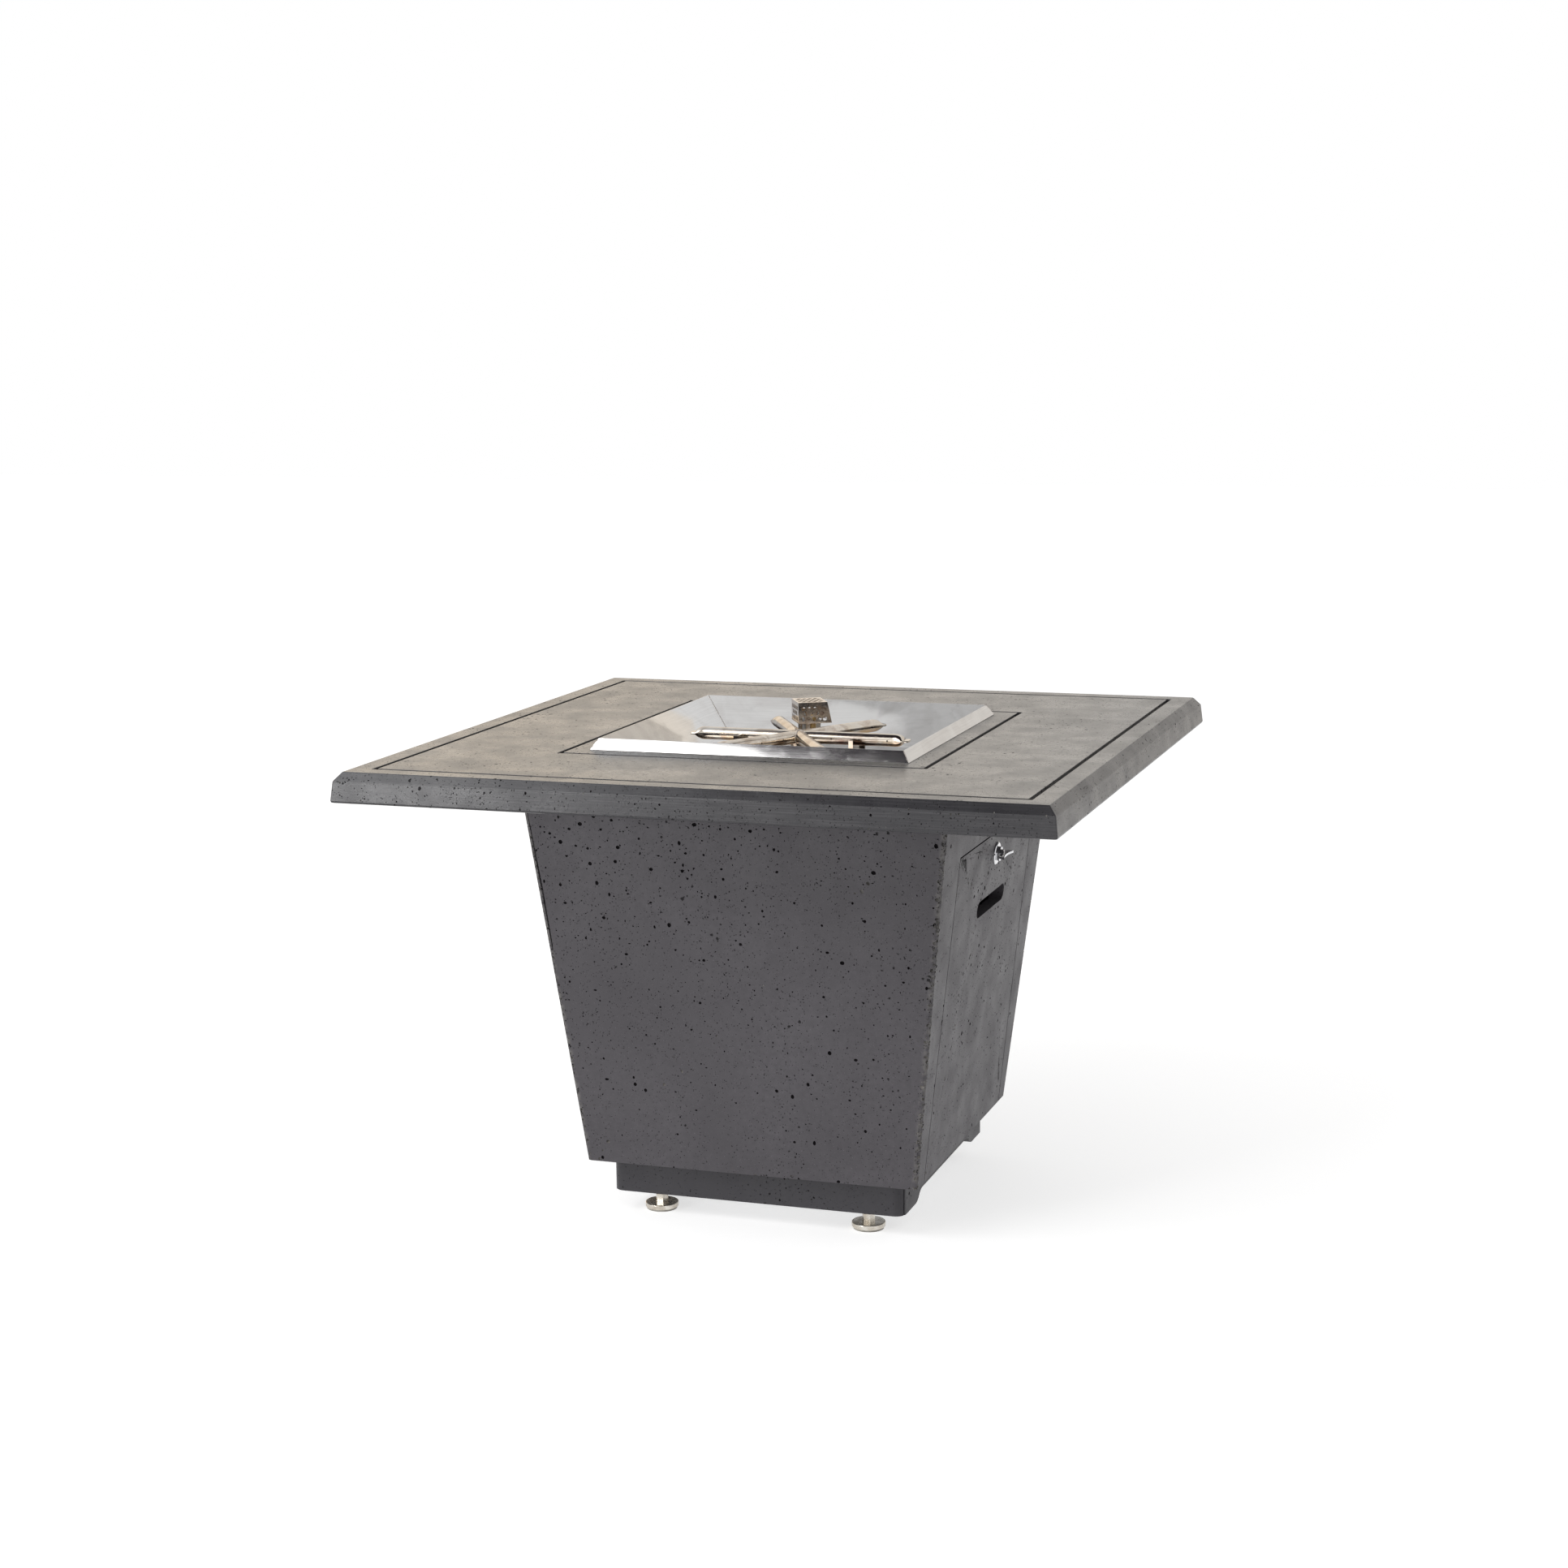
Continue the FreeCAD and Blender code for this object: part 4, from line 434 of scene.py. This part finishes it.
def makeCastTree(sizes):
    tree, given = startTree("pitsAndChips", sizes)
    solid = given["Geometry"]
    here = add(tree, "GeometryNodeInputPosition").outputs[0]
    marked = add(tree, "GeometryNodeInputNamedAttribute", {"Name": "pitShare"}, data_type="FLOAT").outputs[0]
    cluster = noise(tree, here, given["cluster scale"], 2.0)
    crowd = work(tree, "POWER", remap(tree, cluster, 0.36, 0.60, 0.25, 1), 2.0)
    height = add(tree, "ShaderNodeSeparateXYZ", {0: here}).outputs[2]
    crowd = work(tree, "MULTIPLY", crowd, remap(tree, height, 0.12, 0.42, given["low share"], 1))
    crowd = work(tree, "MULTIPLY", crowd, marked)
    cut = markKind(tree, solid, 0)
    for kind, detail, offset in (("coarse", 1, 0.0), ("fine", 1, 31.0)):
        seed = work(tree, "ADD", given["seed"], offset)
        inputs = {"Mesh": solid, "Distance Min": given[kind + " spacing"],
                  "Density Max": given[kind + " count"], "Density Factor": crowd, "Seed": seed}
        spread = add(tree, "GeometryNodeDistributePointsOnFaces", inputs, distribute_method="POISSON").outputs
        cutters = blobs(tree, spread["Points"], spread["Rotation"], given[kind + " size"], detail,
                        given["ragged"], seed, 1)
        cut = cutBy(tree, cut, cutters)
    arris = add(tree, "GeometryNodeInputNamedAttribute", {"Name": "arris"}, data_type="BOOLEAN").outputs[0]
    lines = add(tree, "GeometryNodeMeshToCurve", {"Mesh": solid, "Selection": arris}).outputs[0]
    inputs = {"Curve": lines, "Length": given["chip step"]}
    even = add(tree, "GeometryNodeResampleCurve", inputs, mode="LENGTH").outputs[0]
    points = add(tree, "GeometryNodeCurveToPoints", {"Curve": even}, mode="EVALUATED").outputs["Points"]
    lot = lottery(tree, given["chip share"], 5)
    kept = add(tree, "GeometryNodeSeparateGeometry", {"Geometry": points, "Selection": lot}).outputs[0]
    wander = randomVector(tree, (-0.004,) * 3, (0.004,) * 3, 9)
    along = vectorWork(tree, "MULTIPLY", {0: wander, 1: (0.2, 0.2, 1.0)})
    kept = add(tree, "GeometryNodeSetPosition", {"Geometry": kept, "Offset": along}).outputs[0]
    turn = randomVector(tree, (0.0,) * 3, (6.28,) * 3, 3)
    chips = blobs(tree, kept, turn, given["chip size"], 1, given["ragged"], given["seed"], 2)
    cut = cutBy(tree, cut, chips)
    cut = add(tree, "GeometryNodeSetMaterial", {"Geometry": cut, "Material": given["cast finish"]}).outputs[0]
    found = add(tree, "GeometryNodeInputNamedAttribute", {"Name": "cutKind"}, data_type="INT").outputs[0]
    pits, chipped = (add(tree, "FunctionNodeCompare", {2: found, 3: kind},
                         data_type="INT", operation="EQUAL").outputs[0] for kind in (1, 2))
    # painted shade: the walls of the cut pits take the near-black pit finish
    inputs = {"Geometry": cut, "Selection": pits, "Material": given["pit shade finish"]}
    cut = add(tree, "GeometryNodeSetMaterial", inputs).outputs[0]
    endTree(tree, cut, given["chip finish"], chipped)
    return tree


castTree = makeCastTree(castSizes)


def markCast(mesh, pitShare, isArris):
    # how many pits each face gets, and which edges chip
    share = mesh.attributes.new("pitShare", "FLOAT", "FACE")
    for face in mesh.polygons:
        share.data[face.index].value = pitShare(face.center, face.normal)
    arris = mesh.attributes.new("arris", "BOOLEAN", "EDGE")
    for edge in mesh.edges:
        ends = [mesh.vertices[i].co for i in edge.vertices]
        arris.data[edge.index].value = (ends[0] - ends[1]).length > 0.1 and isArris(*ends)


def shadeCast(piece):
    # cast faces stay flat and crisp, the insides of pits and chips are smooth
    names = [material.name for material in piece.data.materials]
    for face in piece.data.polygons:
        face.use_smooth = names[face.material_index] not in ("topCast", "baseCast")


def squareLathe(profile, cornerRound, steps=3):
    # a closed profile of (half width, height) taken round a square; the corners get small rounds
    shape = bmesh.new()
    rings = []
    for half, z in profile:
        ring = []
        for corner in range(4):
            for step in range(steps):
                angle = math.radians(90) * (step / (steps - 1))
                turned = Matrix.Rotation(math.radians(90 * corner), 4, "Z")
                x = half - cornerRound + cornerRound * math.cos(angle)
                y = half - cornerRound + cornerRound * math.sin(angle)
                ring.append(shape.verts.new(turned @ Vector((x, y, z))))
        rings.append(ring)
    count = 4 * steps
    for first, second in zip(rings, rings[1:] + rings[:1]):
        for i in range(count):
            shape.faces.new((first[i], first[(i + 1) % count], second[(i + 1) % count], second[i]))
    bmesh.ops.recalc_face_normals(shape, faces=shape.faces)
    return shape


def rounded(corners, radius, steps=3):
    # each corner of a profile is replaced by a small arc, apart from those with 0 in their third place
    points = []
    count = len(corners)
    for i, (x, z, share) in enumerate(corners):
        here = Vector((x, z))
        if not share:
            points.append((x, z))
            continue
        back = (Vector(corners[i - 1][:2]) - here).normalized()
        on = (Vector(corners[(i + 1) % count][:2]) - here).normalized()
        first, last = here + back * radius * share, here + on * radius * share
        for step in range(steps):
            t = step / (steps - 1)
            point = first * (1 - t) ** 2 + here * 2 * t * (1 - t) + last * t ** 2
            points.append((point.x, point.y))
    return points


# tabletop: chamfered slab with two scored squares
slab = {
    "low": 0.580, "top": 0.618, "cutout": 0.195, "lowHalf": 0.45685, "highHalf": 0.4542, "chamferTop": 0.607,
    "topHalf": 0.4447, "grooves": (0.4154, 0.2414), "grooveWidth": 0.0056, "grooveDeep": 0.005,
    "arrisRound": 0.0011,
    "pits": {"coarse spacing": 0.014, "coarse size": 0.0024, "coarse count": 420.0, "fine spacing": 0.0045,
             "fine size": 0.0013, "fine count": 6500.0, "chip step": 0.010, "chip size": 0.0018,
             "chip share": 0.22, "ragged": 0.0009, "seed": 4, "cast finish": finishes["topCast"]},
}


def slabProfile(facts):
    low, top = facts["low"], facts["top"]
    corners = [(facts["cutout"], low, 0), (facts["lowHalf"] - 0.003, low, 0),
               (facts["lowHalf"] - 0.0008, low + 0.0008, 0), (facts["lowHalf"], low + 0.003, 0),
               (facts["highHalf"], facts["chamferTop"], 1),
               (facts["topHalf"], top, 1)]
    for groove in facts["grooves"]:
        outer, inner = groove + facts["grooveWidth"] / 2, groove - facts["grooveWidth"] / 2
        floor = top - facts["grooveDeep"]
        corners += [(outer, top, 0.6), (outer, floor, 0), (inner, floor, 0), (inner, top, 0.6)]
    corners.append((facts["cutout"], top, 0.6))
    return rounded(corners, facts["arrisRound"])


def slabPits(centre, normal):
    reach = max(abs(centre.x), abs(centre.y))
    if reach < 0.2 or normal.z < -0.5:
        return 0.0
    if centre.z < 0.6165 and reach < 0.43:
        return 0.0
    return 1.0 if centre.z < 0.6175 else 0.55


def slabArris(first, second):
    return min(first.z, second.z) > 0.582 and max(abs(first.x), abs(first.y)) > 0.44


slabMesh = meshOf("tabletop_cast", squareLathe(slabProfile(slab), 0.0014), finishes["topCast"])
markCast(slabMesh, slabPits, slabArris)
tabletop = settle("tabletop_cast", slabMesh, castTree, {**castSizes, **slab["pits"]})
shadeCast(tabletop)
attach(tabletop, "table")
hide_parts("tabletop")
print("tabletop cast:", len(tabletop.data.polygons), "faces")


# base: the tapered shell, pitted all over outside, more so on its upper half
def wallHalf(z):
    return baseWall["lowHalf"] + (z - baseWall["lowZ"]) * baseWall["slope"]


def basePits(centre, normal):
    reach = max(abs(centre.x), abs(centre.y))
    if centre.z < 0.0745:
        return 0.6 if reach > baseWall["plinthHalf"] - 0.006 and abs(normal.z) < 0.5 else 0.0
    if reach < wallHalf(centre.z) - 0.004 or abs(normal.z) > 0.6:
        return 0.0
    return 1.0


def baseArris(first, second):
    inner = [min(abs(p.x), abs(p.y)) - wallHalf(p.z) for p in (first, second)]
    outer = [max(abs(p.x), abs(p.y)) - wallHalf(p.z) for p in (first, second)]
    corner = min(inner) > -0.006 and abs(first.z - second.z) > 0.3
    foot = abs(first.z - 0.075) < 0.001 and abs(second.z - 0.075) < 0.001 and min(outer) > -0.003
    return corner or foot


baseMesh = meshOf("base_cast", closedCopy("base_shell"), finishes["baseCast"])
markCast(baseMesh, basePits, baseArris)
base = settle("base_cast", baseMesh, castTree, castSizes)
shadeCast(base)
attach(base, "table")
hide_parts("base_shell")
print("base cast:", len(base.data.polygons), "faces")


# door: cast like the base, with its own pits
def doorPits(centre, normal):
    return 1.0 if normal.x > 0.5 and centre.x > wallHalf(max(centre.z, 0.075)) - 0.03 else 0.0


def doorArris(first, second):
    return min(first.x - wallHalf(first.z), second.x - wallHalf(second.z)) > -0.002


doorMesh = meshOf("door_cast", closedCopy("door_panel"), finishes["baseCast"])
markCast(doorMesh, doorPits, doorArris)
doorSizes = {**castSizes, "seed": 23, "chip size": 0.0024, "chip share": 0.35}
door = settle("door_cast", doorMesh, castTree, doorSizes)
shadeCast(door)
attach(door, "door")
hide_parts("door_panel")
print("door cast:", len(door.data.polygons), "faces")


# burner pan: the folded sheet, with its folds and rim rounded
panFolds = {"round": 0.0011, "steps": 3, "shortest": 0.25}


def softFolds(node, facts):
    shape = bmesh.new()
    shape.from_mesh(nodes[node].data)
    bmesh.ops.remove_doubles(shape, verts=shape.verts, dist=2e-6)
    bmesh.ops.dissolve_limit(shape, angle_limit=0.01, verts=shape.verts, edges=shape.edges)
    folds = [edge for edge in shape.edges
             if len(edge.link_faces) == 2 and edge.calc_length() > facts["shortest"]
             and edge.calc_face_angle() > 0.3 and min(vert.co.z for vert in edge.verts) > 0.5775]
    bmesh.ops.bevel(shape, geom=folds, offset=facts["round"], segments=facts["steps"], profile=0.5,
                    affect="EDGES", clamp_overlap=True)
    return shape


panMesh = meshOf("pan_folded", softFolds("burner_pan", panFolds), finishes["pan_steel"])
pan = bpy.data.objects.new("pan_folded", panMesh)
bpy.context.scene.collection.objects.link(pan)
pan.data.set_sharp_from_angle(angle=math.radians(28))
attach(pan, "table")
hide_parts("burner_pan")


# star burner: one arm, pinched and flattened at its end, set round six times and cut for its ports
star = {
    "arms": 6, "radius": 0.0086, "axisHeight": 0.6115, "straight": 0.133, "pinched": 0.145, "tip": 0.153,
    "tabHalf": 0.0100, "tabThick": 0.0012, "sides": 36, "portRadius": 0.00115,
    "nearPorts": (0.035, 0.0385), "farPorts": (0.047, 0.0385),
}


def makeArm(facts):
    shape = bmesh.new()
    count, radius = facts["sides"], facts["radius"]
    stations = [None, 0.030, 0.060, 0.095, facts["straight"] - 0.002]
    pinchSteps = 9
    pinch = [(facts["straight"] - 0.002
              + (facts["pinched"] - facts["straight"] + 0.002) * i / pinchSteps, i / pinchSteps)
             for i in range(1, pinchSteps + 1)]
    tab = [(facts["pinched"] + (facts["tip"] - facts["pinched"]) * s, 1.0) for s in (0.4, 0.75, 0.93, 1.0)]
    rings = []
    for x, flat in [(x, 0.0) for x in stations] + pinch + tab:
        ease = flat * flat * (3 - 2 * flat)
        dome = math.sqrt(max(0.0, 1 - flat ** 2.6))
        ring = []
        for i in range(count):
            angle = 2 * math.pi * i / count
            wide = radius + (facts["tabHalf"] - radius) * ease
            high = facts["tabThick"] + (radius - facts["tabThick"]) * dome
            y, z = wide * math.cos(angle), high * math.sin(angle)
            if flat == 1.0 and x > facts["pinched"]:
                gone = (x - facts["pinched"]) / (facts["tip"] - facts["pinched"])
                y *= math.sqrt(max(0.0, 1 - gone ** 5)) * 0.96 + 0.04
            if flat == 1.0:
                z = math.copysign(min(abs(z) * 3, facts["tabThick"]), z) if abs(z) > 1e-9 else 0.0
            start = abs(y) / math.tan(math.pi / facts["arms"])
            ring.append(shape.verts.new((start if x is None else x, y, z + facts["axisHeight"])))
        rings.append(ring)
    for first, second in zip(rings, rings[1:]):
        for i in range(count):
            shape.faces.new((first[i], second[i], second[(i + 1) % count], first[(i + 1) % count]))
    shape.faces.new(list(reversed(rings[-1])))
    bmesh.ops.remove_doubles(shape, verts=rings[0], dist=1e-6)
    bmesh.ops.recalc_face_normals(shape, faces=shape.faces)
    seam = shape.edges.layers.bool.new("seam")
    for edge in shape.edges:
        edge[seam] = edge.is_boundary
    return shape


def roundTheHub(tree, geometry, arms):
    spots = add(tree, "GeometryNodeMeshLine", {"Count": arms, "Offset": (0, 0, 0)}).outputs[0]
    order = add(tree, "GeometryNodeInputIndex").outputs[0]
    step = work(tree, "DIVIDE", 2 * math.pi, arms)
    turn = add(tree, "ShaderNodeCombineXYZ", {2: work(tree, "MULTIPLY", order, step)}).outputs[0]
    inputs = {"Points": spots, "Instance": geometry, "Rotation": turn}
    each = add(tree, "GeometryNodeInstanceOnPoints", inputs).outputs[0]
    return add(tree, "GeometryNodeRealizeInstances", {0: each}).outputs[0]


def makeStarTree(sizes):
    tree, given = startTree("starBurner", sizes)
    whole = roundTheHub(tree, given["Geometry"], given["arms"])
    joined = add(tree, "GeometryNodeMergeByDistance", {"Geometry": whole, "Distance": 0.00001}).outputs[0]
    rows = []
    for side, turnSign in (("near", 1), ("far", -1)):
        first = add(tree, "ShaderNodeCombineXYZ",
                    {0: given[side + " start"], 1: turnSign * star["radius"], 2: star["axisHeight"]}).outputs[0]
        step = add(tree, "ShaderNodeCombineXYZ", {0: given[side + " step"]}).outputs[0]
        inputs = {"Count": 3, "Start Location": first, "Offset": step}
        spots = add(tree, "GeometryNodeMeshLine", inputs).outputs[0]
        drill = add(tree, "GeometryNodeMeshCylinder",
                    {"Vertices": 14, "Radius": given["port radius"], "Depth": 0.004}).outputs[0]
        inputs = {"Points": spots, "Instance": drill, "Rotation": (math.pi / 2, 0, 0)}
        rows.append(add(tree, "GeometryNodeInstanceOnPoints", inputs).outputs[0])
    both = tree.nodes.new("GeometryNodeJoinGeometry")
    for row in rows:
        tree.links.new(row, both.inputs[0])
    drills = roundTheHub(tree, both.outputs[0], given["arms"])
    # painted shade: the port walls take the near-black port finish
    inputs = {"Geometry": drills, "Material": given["port shade finish"]}
    drills = add(tree, "GeometryNodeSetMaterial", inputs).outputs[0]
    bored = cutBy(tree, joined, drills)
    tubes = add(tree, "GeometryNodeMaterialSelection", {"Material": given["tube finish"]}).outputs[0]
    endTree(tree, bored, given["tube finish"], tubes)
    return tree


starSizes = {
    "arms": star["arms"], "near start": star["nearPorts"][0], "near step": star["nearPorts"][1],
    "far start": star["farPorts"][0], "far step": star["farPorts"][1], "port radius": star["portRadius"],
    "tube finish": finishes["burner_steel"], "port shade finish": finishes["port_dark"],
}
armMesh = meshOf("star_burner", makeArm(star), finishes["burner_steel"])
burner = settle("star_burner", armMesh.copy(), makeStarTree(starSizes), starSizes)
burner.data.set_sharp_from_angle(angle=math.radians(40))
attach(burner, "table")
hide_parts(*sorted(name for name in nodes if name.startswith("burner_arm")))
print("star burner:", len(burner.data.polygons), "faces")


# weld beads: overlapping drops along a line of marked edges
weldSizes = {"step": 0.0011, "size": 0.0011, "flat": 0.75, "share": 1.0, "weld finish": finishes["weld"]}


def makeWeldTree(sizes, arms=None):
    tree, given = startTree("weldBeads", sizes)
    marked = add(tree, "GeometryNodeInputNamedAttribute", {"Name": "seam"}, data_type="BOOLEAN").outputs[0]
    lines = add(tree, "GeometryNodeMeshToCurve", {"Mesh": given["Geometry"], "Selection": marked}).outputs[0]
    even = add(tree, "GeometryNodeResampleCurve", {"Curve": lines, "Length": given["step"]}, mode="LENGTH")
    spots = add(tree, "GeometryNodeCurveToPoints", {"Curve": even.outputs[0]}, mode="EVALUATED").outputs
    lot = lottery(tree, given["share"], 2)
    kept = add(tree, "GeometryNodeSeparateGeometry", {"Geometry": spots["Points"], "Selection": lot}).outputs[0]
    ball = add(tree, "GeometryNodeMeshIcoSphere", {"Radius": given["size"], "Subdivisions": 2}).outputs[0]
    size = randomVector(tree, (0.8, 0.8, 0.6), (1.15, 1.15, 0.9), 8)
    each = add(tree, "GeometryNodeInstanceOnPoints",
               {"Points": kept, "Instance": ball, "Rotation": spots["Rotation"], "Scale": size}).outputs[0]
    if arms:
        each = roundTheHub(tree, add(tree, "GeometryNodeRealizeInstances", {0: each}).outputs[0], arms)
    smooth = add(tree, "GeometryNodeRealizeInstances", {0: each}).outputs[0]
    smooth = add(tree, "GeometryNodeSetShadeSmooth", {0: smooth}).outputs[0]
    endTree(tree, smooth, given["weld finish"])
    return tree


starWeld = settle("star_weld", armMesh.copy(), makeWeldTree(weldSizes, star["arms"]),
                  {**weldSizes, "size": 0.0009})
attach(starWeld, "table")

panSeam = bmesh.new()
seamLayer = panSeam.edges.layers.bool.new("seam")
for corner in range(4):
    turned = Matrix.Rotation(math.radians(45 + 90 * corner), 4, "Z")
    line = [turned @ Vector((half * math.sqrt(2), 0, z))
            for half, z in ((0.2118, 0.6183), (0.2028, 0.6326), (0.150, 0.5822))]
    ends = [panSeam.verts.new(point) for point in line]
    for first, second in zip(ends, ends[1:]):
        panSeam.edges.new((first, second))[seamLayer] = True
panWeld = settle("pan_weld", meshOf("pan_weld", panSeam), makeWeldTree(weldSizes),
                 {**weldSizes, "size": 0.0008, "share": 0.8})
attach(panWeld, "table")
print("welds:", len(starWeld.data.polygons), len(panWeld.data.polygons), "faces")


# floor, white surroundings, lamps, and the cards that only show as reflections
studio = {
    "skyLevel": 0.56, "floorLift": 0.62,
    "lamps": {"keyLamp": (66.0, 2.4, (-2.1, -2.5, 3.2)), "stripLamp": (30.0, 0.9, (-2.0, -3.3, 1.05))},
    # corners of each card, its colour, and the colour it fades to along x
    "cards": {
        "darkCard": (((-0.88, -2.9, 2.6), (1.9, -2.9, 2.6), (1.9, 1.1, 2.6), (-0.70, 1.1, 2.6)),
                     (0.10, 0.085, 0.10), (0.022, 0.017, 0.022), (-0.75, -0.55)),
        "slateCard": (((-2.3, -0.95, 2.6), (-0.80, -0.95, 2.6), (-0.70, 1.1, 2.6), (-2.3, 1.1, 2.6)),
                      (1.15, 1.20, 1.28), (0.70, 0.74, 0.80), (-1.3, -0.72)),
        "creamCard": (((-6.0, 3.4, 0.02), (5.0, 3.4, 0.02), (5.0, 3.4, 2.4), (-6.0, 3.4, 2.4)),
                      (1.15, 1.00, 0.82), (0.92, 0.88, 0.83), (-1.9, -0.2)),
    },
}


def seenDirectly(tree):
    # 1 for rays from the camera or off metal and glass, 0 for the light that falls on the object
    seen = add(tree, "ShaderNodeLightPath").outputs
    mirrored = work(tree, "MAXIMUM", seen["Is Glossy Ray"], seen["Is Transmission Ray"])
    return work(tree, "MAXIMUM", seen["Is Camera Ray"], mirrored)


def makeFloor(lift):
    shape = bmesh.new()
    bmesh.ops.create_grid(shape, x_segments=1, y_segments=1, size=14)
    finish, tree, shader, place = startFinish("floorPaper")
    colour = mixColour(tree, noise(tree, place, 240, 3), (0.66, 0.66, 0.66), (0.70, 0.70, 0.70))
    wire(tree, shader, Base_Color=colour, Roughness=0.9, Emission_Color=(1, 1, 1, 1))
    tree.links.new(work(tree, "MULTIPLY", seenDirectly(tree), lift), shader.inputs["Emission Strength"])
    floor = bpy.data.objects.new("floor", meshOf("floor", shape, finish))
    bpy.context.scene.collection.objects.link(floor)


def makeSky(level):
    sky = bpy.data.worlds.new("whiteRoom")
    sky.use_nodes = True
    tree = sky.node_tree
    strength = work(tree, "MULTIPLY_ADD", seenDirectly(tree), 1 - level, level)
    back = tree.nodes["Background"]
    back.inputs["Color"].default_value = (1, 1, 1, 1)
    tree.links.new(strength, back.inputs["Strength"])
    bpy.context.scene.world = sky


def makeCard(name, corners, near, far, fade):
    shape = bmesh.new()
    shape.faces.new([shape.verts.new(corner) for corner in corners])
    finish = bpy.data.materials.new(name)
    finish.use_nodes = True
    tree = finish.node_tree
    place = add(tree, "ShaderNodeTexCoord").outputs["Object"]
    across = add(tree, "ShaderNodeSeparateXYZ", {0: place}).outputs[0]
    colour = mixColour(tree, remap(tree, across, *fade), near, far)
    glow = add(tree, "ShaderNodeEmission", {"Color": colour}).outputs[0]
    tree.links.new(glow, tree.nodes["Material Output"].inputs["Surface"])
    card = bpy.data.objects.new(name, meshOf(name, shape, finish))
    bpy.context.scene.collection.objects.link(card)
    card.visible_camera = card.visible_diffuse = card.visible_transmission = card.visible_shadow = False


def makeLamp(name, power, size, place, aim=(0, 0, 0.35)):
    lamp = bpy.data.lights.new(name, "AREA")
    lamp.energy, lamp.size = power, size
    holder = bpy.data.objects.new(name, lamp)
    holder.location = place
    holder.rotation_euler = (Vector(aim) - Vector(place)).to_track_quat("-Z", "Y").to_euler()
    bpy.context.scene.collection.objects.link(holder)


makeFloor(studio["floorLift"])
makeSky(studio["skyLevel"])
for name, facts in studio["lamps"].items():
    makeLamp(name, *facts)
for name, facts in studio["cards"].items():
    makeCard(name, *facts)
bpy.context.scene.view_settings.view_transform = "Standard"
